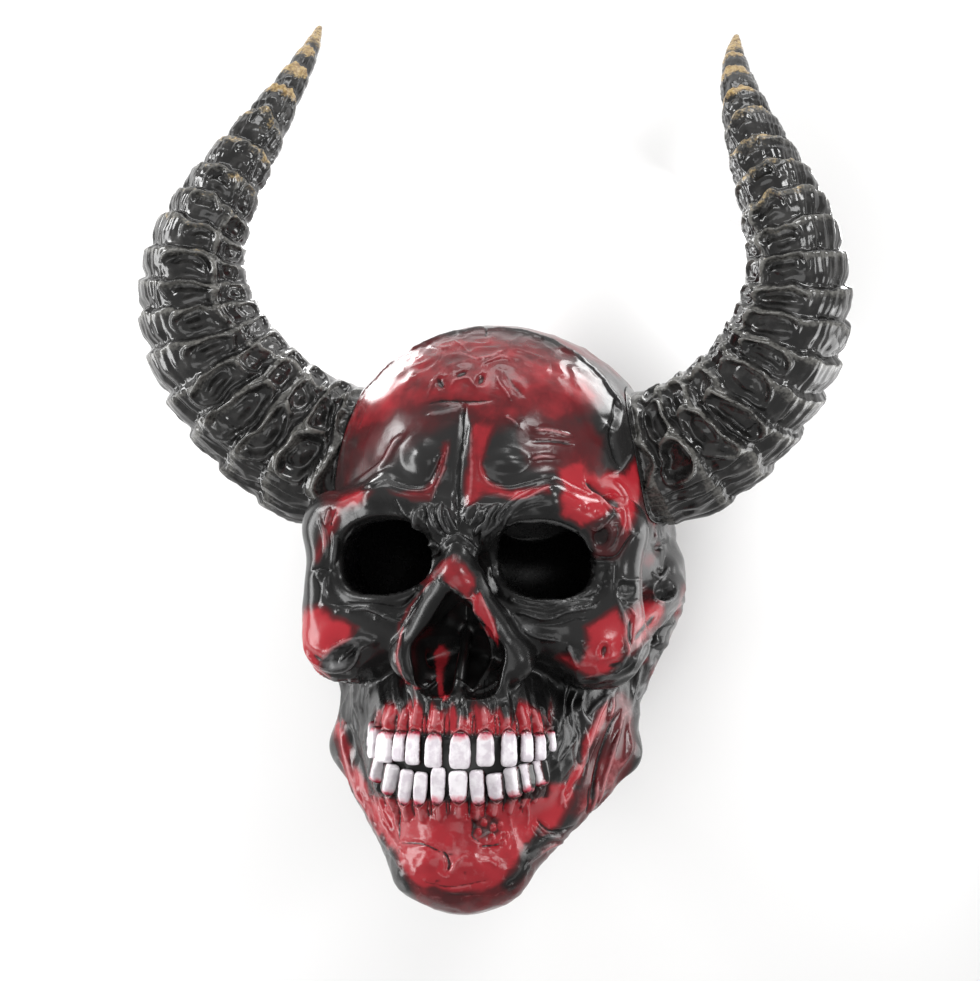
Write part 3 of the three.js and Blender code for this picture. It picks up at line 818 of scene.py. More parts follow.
def eye_surrounds(s):
    """The second ridges round the eye holes, the columns beside them and their cracks."""
    s.groove(((-93.5, -25), (-85, -26), (-76, -26), (-67.5, -26), (-60, -27.5), (-53, -27.5),
        (-46.5, -21.5), (-42.5, -15.5)), 2.0, 1.2)
    s.ridge(((-83.5, -30), (-78.5, -29), (-71.5, -28.5), (-65.5, -30.5), (-61.5, -32.5),
        (-56.5, -34.5), (-52.5, -36)), 1.8, 1.7)
    s.mound((-81, -30), (2.6, 2.0), 1.2)
    s.mound((-61.5, -32.5), (2.4, 1.8), 1.1)
    s.mound((-67, -33.5), (1.8, 1.6), 0.9)
    s.mound((-88.5, -30), (1.6, 1.8), 0.9)
    s.mound((-95, -27.5), (4, 4), 1.2)
    s.ridge(((-56.5, -33.5), (-53, -31), (-49, -29)), 1.4, 1.0)
    s.mound((-39.5, -7), (1.8, 2.4), 1.0)
    s.mound((-45.5, -17.5), (2.2, 3.0), 0.9)
    s.mound((-3.5, -8), (2.2, 4.0), 1.2)
    s.ridge(((-91, 14.5), (-89.5, 8.5), (-90, 2), (-91, -5)), 2.4, 1.2)
    s.ridge(((-98.5, 20.5), (-96, 14.5), (-95, 7), (-95.5, -1.5)), 1.8, 1.0)
    s.groove(((-103.5, -7.5), (-99.5, -6.5), (-96, -6), (-93.5, -7), (-89.5, -7.5)), 1.0, 1.6)
    s.mound((-98.5, -8.5), (2, 1.4), 1.0)
    s.mound((-91.5, -8), (2, 1.4), 1.0)
    s.ridge(((-94, -10), (-95.5, -15), (-95, -20), (-93.5, -24)), 1.5, 1.1)
    s.groove(((-101, -10), (-98.5, -15), (-98.5, -21.5), (-99.5, -26.5)), 1.5, 0.9)
    s.ridge(((-92.5, 27), (-94, 22), (-95, 17)), 2.0, 0.9)
    s.groove(((-89, 26), (-91.5, 20.5), (-92.5, 15.5)), 1.2, 0.8)
    s.groove(((2, -19), (8, -22.5), (14.5, -25), (21.5, -26), (27.5, -27.5), (35, -25), (43, -23),
        (51.5, -21.5), (56.5, -16.5)), 1.6, 1.2)
    s.ridge(((6.5, -31), (11.5, -30), (17.5, -32), (23, -33.5), (28, -33.5), (32.5, -32), (36.5, -30),
        (44, -29), (51.5, -27.5), (56.5, -23)), 1.6, 1.6)
    s.mound((45, -29), (2.6, 2.2), 1.2)
    s.mound((31.5, -32.5), (1.8, 1.8), 1.0)
    s.mound((28.5, -33.5), (1.3, 1.3), 0.8)
    s.mound((11.5, -31), (2.6, 1.8), 0.9)
    s.mound((7, -23), (2.6, 2.6), 1.2)
    s.groove(((17.5, -36), (25, -37), (33, -36.5), (41.5, -34), (50, -33.5)), 1.8, 1.0)
    s.groove(((52, 1), (55, 0), (60, -0.5), (64.5, 1), (68, 5.5), (72, 11), (77.5, 14.5)), 1.2, 2.0)
    s.ridge(((48.5, -1.5), (53.5, -2.5), (59, -2.5), (65, -2.5)), 1.3, 0.8)
    s.groove(((64, -1.5), (64, -8), (63.5, -16.5), (62.5, -21.5)), 1.3, 0.9)
    studs = ((50, -1.5), (53.5, -1.5), (51, -6.5), (60, -8), (57.5, -13), (57, -16), (58.5, -15.5),
        (52, -11.5), (54, -16.5), (61, -5), (61, -12.5), (56, -8), (53.5, -20), (48.5, -16.5))
    for stud in studs:
        s.mound(stud, (1.4, 1.4), 0.8)


def cheeks(s):
    """The leaf dent of the right cheek, the dents and edges of the left one, and the ear."""
    s.dent((-85.5, -53.5), (14.5, 5.4), 3.0, 24)
    s.ridge(((-98.5, -58.5), (-92.5, -51), (-84, -46), (-74, -44), (-66.5, -47)), 2.0, 1.1)
    s.ridge(((-98.5, -60.5), (-91, -62.5), (-84, -61), (-79, -57), (-76, -50), (-70, -46.5)), 1.5, 1.3)
    s.ridge(((-87.5, -57.5), (-82.5, -52.5), (-78.5, -48.5)), 1.0, 0.7)
    s.mound((-70, -46), (6, 4.5), 1.2)
    s.ridge(((11.5, -38.5), (18, -42.5), (25.5, -44.5), (33.5, -46)), 1.5, 1.4)
    s.ridge(((37.5, -48.5), (40.5, -54), (44.5, -60.5)), 1.5, 1.3)
    s.mound((46, -47.5), (3.2, 2.6), 1.4)
    s.dent((57.5, -51.5), (2.4, 4.6), 1.8, -10)
    s.ridge(((54.5, -56), (53.5, -51), (56, -46.5), (59, -46.5), (60, -49)), 1.1, 0.9)
    s.groove(((36.5, -46.5), (41.5, -49), (48.5, -55)), 1.8, 0.7)
    s.ridge(((63.5, -21), (66, -26), (68.5, -33), (69, -41), (70, -48.5), (70, -53.5), (66.5, -59.5),
        (62.5, -63.5)), 1.9, 1.7)
    s.ridge(((68.5, -27), (72, -28.5), (75, -33)), 1.2, 1.0)
    s.groove(((72, -33.5), (71.5, -41.5), (72.5, -49)), 2.2, 1.1)
    s.ridge(((102.5, -16.5), (101.5, -22.5), (96, -28), (90, -35), (84.5, -42), (78.5, -49),
        (74.5, -55), (72, -62)), 1.5, 1.6)
    s.groove(((86, -31), (82, -36), (77.5, -41.5), (74.5, -46.5)), 3.0, 1.0)
    s.dent((69.5, -17.5), (6.5, 5.5), 1.4, 0)
    s.ridge(((65, -11.5), (70, -12.5), (74.5, -12.5), (78.5, -11.5)), 1.3, 1.0)
    s.ridge(((67.5, -24), (72.5, -25), (77, -23)), 1.3, 0.9)
    s.dent((90.5, -18), (6.2, 6.2), 6.0, 0)
    s.ridge(((84, -20), (86, -24), (91, -25), (95, -22.5), (97.5, -16.5)), 1.2, 1.4)
    s.ridge(((83.5, -8), (87, -11.5), (90, -10), (92, -5.5)), 1.5, 1.6)
    s.mound((96, -3), (6, 8), 2.0)
    s.dent((87.5, 5), (3, 2.2), 2.0, 0)
    s.dent((90.5, 8.5), (2, 2), 1.6, 0)
    s.dent((88.5, -8), (1.6, 3), 1.4, 20)
    for rib in range(4):
        u = 84.5 + 3.4 * rib
        s.ridge(((u, 25.5), (u + 0.5, 16.5), (u + 1.5, 8.5)), 1.2, 1.3)
    s.mound((100.5, -31), (3.5, 5), 2.0)
    s.mound((93.5, -36), (5, 5), 1.6)
    s.mound((88.5, -46.5), (6, 5), 1.8)
    s.groove(((97.5, -28.5), (94.5, -33.5), (86, -41.5), (82, -48.5)), 1.6, 1.6)
    s.groove(((98.5, -38.5), (93.5, -46), (89.5, -51.5), (83.5, -57)), 1.6, 1.6)
    s.ridge(((97, -51.5), (91, -57), (87, -65), (83.5, -75), (78.5, -81)), 2.2, 2.0)
    s.ridge(((85, -58.5), (82.5, -67), (78.5, -73.5), (73.5, -79.5)), 1.8, 1.6)
    s.ridge(((64, -69.5), (61.5, -75), (61, -82), (59, -89.5)), 2.0, 2.0)
    s.ridge(((56.5, -74.5), (61, -72.5), (64, -70)), 1.4, 1.4)


def jaws(s):
    """The strands down the sides of the jaw, and the hollows behind the teeth."""
    s.ridge(((65.5, -69), (58, -77.5), (53.5, -86.5), (50, -96.5), (45.5, -109), (42, -118),
        (37, -127.5)), 2.2, 2.2)
    s.ridge(((59.5, -75), (52, -81.5), (47, -88.5)), 1.6, 1.6)
    s.groove(((66, -82.5), (62.5, -89.5), (59, -98), (55.5, -108), (52.5, -119.5), (50.5, -131.5),
        (50, -139.5)), 2.0, 2.2)
    s.ridge(((66, -94.5), (62.5, -104), (59.5, -114), (55.5, -125.5), (52, -139.5)), 1.8, 1.6)
    s.ridge(((36, -123.5), (34, -129.5), (33.5, -136.5)), 1.6, 1.4)
    s.ridge(((44, -77.5), (43, -82.5), (47, -89.5), (49, -92.5)), 2.6, 1.8)
    s.groove(((43, -86.5), (41, -96.5), (38, -106), (33, -114), (27.5, -120.5)), 3.0, 1.6)
    s.ridge(((39, -84.5), (34, -92.5), (34, -100), (28.5, -110)), 1.0, 0.8)
    s.ridge(((42, -96.5), (37, -105), (30.5, -113)), 1.0, 0.9)
    s.ridge(((-86, -86.5), (-85.5, -98), (-82, -111), (-77.5, -125.5), (-70.5, -143)), 1.8, 1.8)
    s.ridge(((-79, -74), (-77.5, -81.5), (-73.5, -90.5), (-72.5, -100), (-68.5, -108)), 1.3, 1.2)
    s.ridge(((-75, -80.5), (-73.5, -86.5), (-72.5, -92.5)), 1.0, 1.0)
    s.groove(((-81, -92.5), (-79, -102), (-75.5, -112), (-70.5, -123.5), (-66.5, -131.5)), 3.4, 1.8)
    s.ridge(((-75.5, -94.5), (-72.5, -104), (-67.5, -114)), 1.2, 1.0)


def chin(s):
    """The bosses of the chin with their cleft, the pitted patch above and the folds beside it."""
    s.mound((-39.5, -167), (8.5, 7), 2.0)
    s.mound((-13.5, -168), (11, 7.5), 1.8)
    s.mound((-34, -153.5), (6, 7), 0.9)
    s.mound((-24, -155.5), (6, 6), 0.9)
    s.groove(((-31.5, -160.5), (-29, -163.5), (-27.5, -168), (-28.5, -173)), 1.7, 2.4)
    s.ridge(((-25.5, -173.5), (-24, -168), (-20.5, -164.5), (-14.5, -162.5)), 1.4, 1.1)
    s.ridge(((-34, -171.5), (-31, -174.5), (-27, -175.5)), 1.2, 0.8)
    s.ridge(((-9, -166), (-4, -167), (-0.5, -170)), 1.4, 0.9)
    s.groove(((-55, -156.5), (-48, -156.5), (-40.5, -157.5), (-34, -160.5), (-31, -162)), 1.3, 1.2)
    s.ridge(((-51, -153.5), (-41.5, -154.5), (-34, -157.5)), 1.3, 0.7)
    s.groove(((-42.5, -176.5), (-36.5, -179), (-27, -180.5), (-13.5, -178.5), (-4, -176.5)), 1.2, 0.7)
    s.groove(((-30, -184), (-19.5, -185), (-8, -184)), 1.2, 0.6)
    s.groove(((-11, -158.5), (-5, -158), (3.5, -156.5)), 1.3, 1.4)
    s.groove(((-15.5, -142), (-13.5, -147), (-14.5, -152.5), (-9, -157)), 1.3, 1.4)
    lumps = ((-18, -143.5), (-11, -150.5), (-4, -153.5), (-8, -145.5), (-5, -139), (3.5, -152.5),
        (1, -147), (-9, -140), (-13.5, -139), (2, -156.5), (-3, -148))
    lump_radii = (2.0, 2.6)
    s.dent((-7, -147), (13, 11), 0.8)
    for lump in lumps:
        s.mound(lump, lump_radii, 1.9)
        at, share = s.oval(lump, lump_radii, 0)
        s.gully[at] *= share ** 2
    s.groove(((20.5, -143), (24, -147), (28.5, -150), (35, -149.5), (40.5, -147)), 1.8, 1.8)
    s.ridge(((18, -146), (22.5, -151.5), (28.5, -153.5), (35, -153.5)), 1.8, 1.0)
    s.groove(((14, -162.5), (20, -157), (26, -152.5)), 2.2, 1.2)
    s.ridge(((14.5, -174.5), (16, -168), (21.5, -163), (28.5, -158.5), (37, -155.5)), 1.6, 1.2)
    s.groove(((3.5, -180.5), (11, -174.5), (15, -167)), 2.6, 1.2)
    s.ridge(((33.5, -128.5), (35, -133.5), (36, -138)), 1.6, 1.4)
    s.ridge(((40, -124), (38, -130.5), (35.5, -134.5)), 1.4, 1.2)
    s.ridge(((53.5, -122), (52, -130.5), (49.5, -141)), 1.5, 1.2)
    s.groove(((49.5, -125), (48.5, -133.5), (48, -141)), 1.4, 1.4)
    s.ridge(((5.5, -141), (6.5, -148), (9.5, -158.5)), 1.4, 0.9)
    s.ridge(((15, -133.5), (16, -140), (15, -149.5)), 1.4, 0.9)
    s.ridge(((21.5, -125), (18, -132.5), (16, -136.5)), 1.4, 0.9)
    s.groove(((13, -134.5), (13, -141)), 1.2, 0.9)
    s.ridge(((-51, -133.5), (-50.5, -140), (-51, -146)), 1.3, 1.2)
    s.ridge(((-56, -132.5), (-56, -141), (-55, -149.5), (-54.5, -156.5)), 1.3, 1.3)
    s.groove(((-54, -138), (-54.5, -146), (-55, -156.5)), 1.0, 1.2)
    s.ridge(((-70, -122), (-66.5, -134.5), (-62.5, -147), (-56, -157.5), (-51, -166)), 1.5, 0.9)
    s.ridge(((-74, -128.5), (-69, -145), (-60.5, -159.5), (-53, -171.5)), 1.3, 0.8)
    s.ridge(((-65.5, -131.5), (-62.5, -141), (-58.5, -149.5)), 1.2, 0.8)


# The arch that the teeth stand on: its half width, its depth, the z it starts from and how full
# it is at the ends
TOOTH_ARCH = (50.0, 45.0, 77.0)
ARCH_FULLNESS = 0.84
# Each tooth's start and end on the arch in degrees, and the heights of its root and tip
UPPER_TEETH = (
    (-88, -79, -92, -105), (-78, -63, -94.5, -111), (-61, -43, -96, -112), (-40.5, -32, -95.5, -110.5),
    (-30, -20.5, -94.5, -112), (-16.5, -5.5, -95.5, -113), (-1, 12.5, -94.5, -113.2),
    (15.5, 27.5, -93.5, -111.5), (31.5, 43, -93, -111.5), (46, 56, -93.5, -109),
    (58, 69.5, -95, -108.5), (72.5, 86, -94, -104),
)
LOWER_TEETH = (
    (-80, -55, -122, -109.5), (-53, -41.5, -128, -112.3), (-37, -27.5, -132.5, -114.6),
    (-25, -16, -132.5, -115.6), (-12.7, -3.5, -131.5, -112.6), (-0.7, 11, -130, -114),
    (13, 22, -131, -113.4), (24.2, 34.5, -128.5, -115), (36.5, 47, -127, -111.6),
    (48.5, 57, -124, -109.8), (59, 74, -121, -108),
)
# Each row of teeth and the way its gum goes: 1 upwards, -1 downwards
TOOTH_ROWS = ((UPPER_TEETH, 1), (LOWER_TEETH, -1))
# How deep a tooth goes into its gum, how far it turns with the arch, how far the lower ones roll
# with that, half a tooth's depth, what it overlaps its places by, and how square and how wavy it is
TOOTH_ROOT = 2.0
TOOTH_TURN = 0.65
LOWER_ROLL = 0.3
TOOTH_HALF_DEPTH = 5.2
TOOTH_OVERLAP = 0.2
TOOTH_SQUARENESS = 5.0
TOOTH_WAVE = 0.9
# The gums' paint: the height of the roots, the way it goes, and how far it reaches
GUM_PAINT = ((-94.5, 1, 19), (-131.0, -1, 13))
# Teeth seen narrower than this have no scallop. Roots lean away from the mouth's middle as seen.
NARROWEST_TOOTH = 1.5
ROOT_LENGTHS = {1: 16, -1: 11}
ROOT_LEAN = 0.16
MOUTH_MIDDLE = -22.0
# The outline of the nose's opening as seen
NOSE_OPENING = ((-28, -14), (-22, -22), (-12, -27), (-6, -40), (-4, -58), (-14, -72), (-28, -76),
    (-44, -72), (-54, -58), (-53, -42), (-42, -26), (-34, -15))


def arch_point(degrees, height):
    """A place on the teeth's arch, 0 degrees at its middle and more towards its left end."""
    half_width, depth, out = TOOTH_ARCH
    turn = math.radians(degrees)
    return np.array((half_width * math.sin(turn), height, out + depth * math.cos(turn * ARCH_FULLNESS)))


def scallop(u, spread, end, shoulder, top):
    """An arc over a tooth, from its two edges and its middle as seen and three heights."""
    quarter = (u[2] - u[0]) / 2 * 0.5
    return ((u[0] - spread, end), (u[0] + quarter, shoulder), (u[1], top), (u[2] - quarter, shoulder),
        (u[2] + spread, end))


def gums(s):
    """The gums' scalloped edges, the roots that show through them and the strands beyond them."""
    for row, way in TOOTH_ROWS:
        for start, end, root, _ in row:
            u, v = seen(np.array([arch_point(t, root) for t in (start, (start + end) / 2, end)]))
            if u[2] - u[0] < NARROWEST_TOOTH:
                continue
            v = v.mean()
            half = (u[2] - u[0]) / 2
            s.ridge(scallop(u, 0.6, v - 2.4 * way, v + 1.2 * way, v + 2.8 * way), 1.3, 1.6)
            s.groove(scallop(u, 0.2, v - 3.4 * way, v - 0.2 * way, v + 1.2 * way), 0.9, 1.2)
            length = ROOT_LENGTHS[way]
            lean = ROOT_LEAN * (u[1] - MOUTH_MIDDLE)
            root_line = ((u[1], v + 3 * way), (u[1] - 0.3 * lean, v + length * 0.5 * way),
                (u[1] - lean * 0.6, v + length * way))
            s.ridge(root_line, max(1.4, half * 0.7), 1.9)
            for side in (-1, 1):
                beside = u[1] + side * (half + 0.7)
                gap_line = ((beside, v - 2 * way), (beside - side * 0.3, v + 4 * way),
                    (beside - lean * 0.3, v + length * 0.8 * way))
                s.groove(gap_line, 1.2, 1.8)


def strands(s):
    """Fine upright strands over the upper jaw, and fleshy ones down the sides of the jaw."""
    field = np.stack((s.u, s.v, np.zeros(len(s.u))), 1)
    field[:, 0] += noise(field, 14, 5) * 3
    fine = ridged(field, (3.4, 26, 9), 6)
    low = fade(s.v, -99, -91) + fade(s.u, 24, 30) * fade(s.v, -128, -112) * fade(s.v, -91, -99)
    band = low * fade(s.v, -58, -70) * fade(s.u, -98, -86) * fade(s.u, 54, 42)
    nose = inside(s.u, s.v, NOSE_OPENING, 2)
    amount = band * (1 - nose) * s.front
    s.height += amount * fine * (1.0 + 0.6 * fade(s.u, 22, 32))
    s.crest = np.maximum(s.crest, amount * fade(fine, 0.45, 0.9) * 0.8)
    s.gully = np.maximum(s.gully, amount * fade(fine, 0.1, -0.6) * 0.8)
    # The fleshy ones slant with the depth and are on both sides, also behind what the view sees
    side = fade(np.abs(s.places[:, 0]), 48, 66) * fade(s.places[:, 1], -34, -56) * s.outer
    flow = s.places.copy()
    flow[:, 2] += 0.5 * flow[:, 1] + noise(s.places, 18, 8) * 5
    long = ridged(flow, (14, 34, 7), 9)
    s.height += side * long * 1.5
    s.crest = np.maximum(s.crest, side * fade(long, 0.4, 0.9) * 0.7)
    s.gully = np.maximum(s.gully, side * fade(long, 0.0, -0.7) * 0.8)


def horn_distance(places):
    """Distance from the horns' roots."""
    (*start, radius), (*end, _) = HORN_LINES[-1][0], HORN_LINES[-1][2]
    x, y, z = places.T
    return Capsule(start, end, radius).distance((np.abs(x), y, z))


def overall(s):
    """The suture over the crown, the wrinkles under the chin, the crumples before the suture, the
    uneven skin everywhere and the folds at the back."""
    x, y, z = s.places.T
    wiggle = noise(np.stack((x, y, x * 0), 1), (7, 60, 60), 11) * 3.2
    off = np.abs(z - 36 - wiggle)
    crown = fade(y, 52, 78) * s.outer
    s.height += crown * 1.8 * np.clip(1 - off / 3.0, 0, 1) ** 0.7
    s.gully = np.maximum(s.gully, crown * fade(np.abs(z - 31 - wiggle), 3.5, 1.0))
    near_chin = fade(y, -136, -146) * fade(z, 50, 70) * s.outer
    wrinkles = ridged(s.places, (8, 5, 8), 16)
    s.height += near_chin * wrinkles * 0.4
    s.crest = np.maximum(s.crest, near_chin * fade(wrinkles, 0.6, 0.95) * 0.6)
    s.gully = np.maximum(s.gully, near_chin * fade(wrinkles, -0.3, -0.9) * 0.7)
    near_crown = fade(y, 88, 108) * fade(z, 30, 40) * s.outer
    crumple = ridged(s.places, (7, 5, 7), 12)
    s.height += near_crown * crumple * 0.55
    s.crest = np.maximum(s.crest, near_crown * fade(crumple, 0.55, 0.95) * 0.6)
    s.height += s.outer * (noise(s.places, 16, 13) * 0.5 + noise(s.places, 6, 14) * 0.16)
    behind = fade(z, 26, -6) * s.outer
    folds = ridged(s.places, (13, 22, 13), 15)
    s.height += behind * folds * 0.7
    s.gully = np.maximum(s.gully, behind * fade(folds, 0.2, -0.6) * 0.6)
    # The flat spot at the back and the skin under the horns stay smooth
    s.height *= fade(z, -BACK + 1, -BACK + 7) * fade(horn_distance(s.places), 1, 7)


def laid(paint, areas, u, v, share=1.0):
    """Paint with areas laid over it, each at its strength. Share is how well they take."""
    for _, soft, strength, outline in areas:
        paint = np.maximum(paint, strength * inside(u, v, outline, soft) * share)
    return paint


def painted(s):
    """How red each place is, how dark from dark paint and painted shade, and how pale its raised edges are
    from rubbing and painted highlights.
    """
    u, v = s.u, s.v
    loose = noise(s.places, 9, 21) * 2.2 + noise(s.places, 3.5, 22) * 0.9
    bare = np.zeros(len(u), np.float32)
    red = laid(bare, RED_AREAS, u + loose, v + loose * 0.7)
    dark_and_shade = laid(bare, DARK_AREAS, u + loose, v - loose)
    fresh = bare
    # The gums' red runs out in fingers, and the mouth between them is painted dark as shade
    fingers = 7 * noise(np.stack((u, v, u * 0), 1), (3.6, 40, 9), 31)
    for root, way, reach in GUM_PAINT:
        ends = seen(np.array([arch_point(t, root) for t in (-76, -40, 0, 40, 74)]))
        line = np.interp(u, ends[0], ends[1])
        above = (v - line) * way
        wide = fade(u, -72, -64) * fade(u, 34, 22)
        gum = fade(above, -2, 2) * fade(above + fingers, reach, reach * 0.55) * wide
        red = np.maximum(red, gum)
        fresh = np.maximum(fresh, gum)
        mouth = fade(above, 0, -3) * fade(above, -24, -20) * wide
        dark_and_shade = np.maximum(dark_and_shade, mouth)
    # The black areas deepen the soot, partly as painted shade in hollows
    dark_and_shade = laid(dark_and_shade, BLACK_AREAS, u + loose, v, fade(red, 0.5, 0.1))
    # Inside the nose's opening, all but the raised edges is painted dark as shade
    nose = inside(u, v, NOSE_OPENING, 1.5)
    dark_and_shade = np.maximum(dark_and_shade, nose * fade(s.crest, 0.9, 0.2) * (red < 0.5))
    # Behind the face the red is only mottled, and the lining has none
    ahead = fade(s.places[:, 2], 24, 40)
    mottle = fade(noise(s.places, 22, 23) + 0.5 * noise(s.places, 8, 24), 0.05, 0.5)
    red = red * ahead + (1 - ahead) * mottle * 0.55
    red *= s.outer
    # Raised edges and the pale areas are rubbed pale, partly as painted highlights
    patchy = 0.6 + 0.7 * noise(s.places, 8, 41) + 0.4 * noise(s.places, 3, 42)
    rub_and_highlight = laid(s.crest, RUB_AND_HIGHLIGHT_AREAS, u + loose, v, patchy)
    # Painted shade in the grooves and dents, a little less on the fresh gums, and cleared where the strongest
    # painted highlights lie
    dark_and_shade = np.maximum(dark_and_shade, s.gully * (1 - 0.15 * fresh)) * (1 - 0.85 * fade(rub_and_highlight, 0.9, 1.3))
    return {"red": red, "dark_and_shade": dark_and_shade, "rub_and_highlight": rub_and_highlight}


# Node trees: numbers are worked out with Python's operators

class Socket:
    """A socket of a node tree. On numbers, each operator adds a Math node."""

    def __init__(self, tree, source):
        self.tree = tree
        self.source = source

    def maths(self, operation, *values):
        return self.tree.node("ShaderNodeMath", {"operation": operation}, dict(enumerate(values)))

    def at_least(self, other):
        return self.maths("MAXIMUM", self, other)

    def __add__(self, other):
        return self.maths("ADD", self, other)

    def __radd__(self, other):
        return self.maths("ADD", other, self)

    def __sub__(self, other):
        return self.maths("SUBTRACT", self, other)

    def __rsub__(self, other):
        return self.maths("SUBTRACT", other, self)

    def __mul__(self, other):
        return self.maths("MULTIPLY", self, other)

    def __rmul__(self, other):
        return self.maths("MULTIPLY", other, self)

    def __truediv__(self, other):
        return self.maths("DIVIDE", self, other)

    def __rtruediv__(self, other):
        return self.maths("DIVIDE", other, self)

    def __pow__(self, other):
        return self.maths("POWER", self, other)

    def __rpow__(self, other):
        return self.maths("POWER", other, self)

    def __abs__(self):
        return self.maths("ABSOLUTE", self)

    def __neg__(self):
        return self.maths("MULTIPLY", self, -1)


class Tree:
    """A shader or geometry tree, and the one way to add a node to it."""

    def __init__(self, nodes):
        self.tree = nodes

    def node(self, kind, settings, inputs, output=0):
        """Adds a node: its settings first, then the values or links of its sockets."""
        made = self.tree.nodes.new(kind)
        for name, value in settings.items():
            setattr(made, name, value)
        for name, value in inputs.items():
            if isinstance(value, Socket):
                self.tree.links.new(value.source, made.inputs[name])
            else:
                made.inputs[name].default_value = value
        return Socket(self, made.outputs[output]) if made.outputs else made

    def smooth(self, value, low, high):
        """0 up to low, 1 from high on, and smooth between."""
        settings = {"interpolation_type": "SMOOTHSTEP"}
        return self.node("ShaderNodeMapRange", settings, {"Value": value, "From Min": low, "From Max": high})

    def mixed(self, share, first, second):
        """A colour between two colours."""
        return self.node("ShaderNodeMix", {"data_type": "RGBA"}, {0: share, 6: first, 7: second}, 2)

    def noise(self, place, scale, detail=3.0, rough=0.55):
        inputs = {"Vector": place, "Scale": scale, "Detail": detail, "Roughness": rough}
        return self.node("ShaderNodeTexNoise", {}, inputs)

    def attribute(self, name):
        return self.node("ShaderNodeAttribute", {"attribute_name": name}, {}, 2)

    def object_place(self):
        return self.node("ShaderNodeTexCoord", {}, {}, 3)


def shader(name, make):
    """A material whose principled shader takes what make returns, and plain values as they are."""
    material = bpy.data.materials.new(name)
    material.use_nodes = True
    material.node_tree.nodes.clear()
    tree = Tree(material.node_tree)
    surface = tree.node("ShaderNodeBsdfPrincipled", {}, make(tree))
    tree.node("ShaderNodeOutputMaterial", {}, {"Surface": surface})
    return material


def skull_paint(tree):
    """Crimson sprayed over soot, pale on the raised edges from rubbing and painted highlights, and near black
    in the grooves and hollows as dark paint and painted shade.
    """
    place = tree.object_place()
    cloud = tree.noise(place, 90, 4)
    grain = tree.noise(place, 420, 3)
    red = tree.attribute("red")
    dark_and_shade = tree.attribute("dark_and_shade")
    rub_and_highlight = tree.attribute("rub_and_highlight")
    drift = tree.noise(place, 36, 3)
    sprayed = red + (cloud * 0.45 + drift * 0.6 - 0.525) * tree.smooth(red, 0.05, 0.4)
    maroon = tree.mixed(tree.smooth(sprayed, 0.08, 0.6), SOOT, CRIMSON_DEEP)
    painted = tree.mixed(tree.smooth(sprayed, 0.5, 1.0), maroon, CRIMSON)
    # Rubbed paint and painted highlights on raised edges and pale areas, brighter still where the painted
    # highlights are strongest
    rub_and_highlight_colour = tree.mixed(tree.smooth(sprayed, 0.2, 0.6), SOOT_RUB_AND_HIGHLIGHT, RED_RUB_AND_HIGHLIGHT)
    rub_and_highlight_grained = rub_and_highlight + (grain - 0.5) * 0.5
    rub_and_highlight_share = tree.smooth(rub_and_highlight_grained, 0.45, 1.0) * 0.55 + tree.smooth(rub_and_highlight_grained, 1.1, 1.6) * 0.3
    painted = tree.mixed(rub_and_highlight_share, painted, rub_and_highlight_colour)
    # Near black where dark paint and painted shade lie
    dark_and_shade_share = tree.smooth(dark_and_shade + (grain - 0.5) * 0.35, 0.25, 0.8)
    painted = tree.mixed(dark_and_shade_share * 0.95, painted, SHADOW)
    rough = 0.14 + 0.14 * cloud + 0.08 * dark_and_shade_share
    bump = tree.node("ShaderNodeBump", {}, {"Strength": 0.3, "Distance": 0.0006, "Height": cloud})
    return {"Base Color": painted, "Roughness": rough, "Specular IOR Level": PAINT_SHINE, "Normal": bump}


def tooth_paint(tree):
    """Uneven white enamel, pink at the root, with painted shade through crimson to black on the sides in the
    gaps and towards the gum.
    """
    place = tree.object_place()
    cloud = tree.noise(place, 160, 3)
    grain = tree.noise(place, 700, 3)
    root = tree.attribute("root")
    side_shade = tree.attribute("side_shade")
    enamel = tree.mixed(tree.smooth(cloud, 0.35, 0.6), ENAMEL_GREY, ENAMEL)
    stain = tree.smooth(root + (cloud - 0.5) * 0.4, 0.7, 0.92)
    painted = tree.mixed(stain, enamel, GUM_PINK)
    # Painted shade: darker on the sides the deeper they lie behind the front, and towards the gum, through
    # crimson to black
    edge = side_shade.at_least((root - 0.5) * 0.9) + (grain - 0.5) * 0.25
    painted = tree.mixed(tree.smooth(edge, 0.28, 0.42), painted, CRIMSON_DEEP)
    painted = tree.mixed(tree.smooth(edge, 0.38, 0.5), painted, SHADOW)
    bump = tree.node("ShaderNodeBump", {}, {"Strength": 0.3, "Distance": 0.0004, "Height": cloud})
    return {"Base Color": painted, "Roughness": 0.16 + 0.12 * cloud, "Normal": bump}


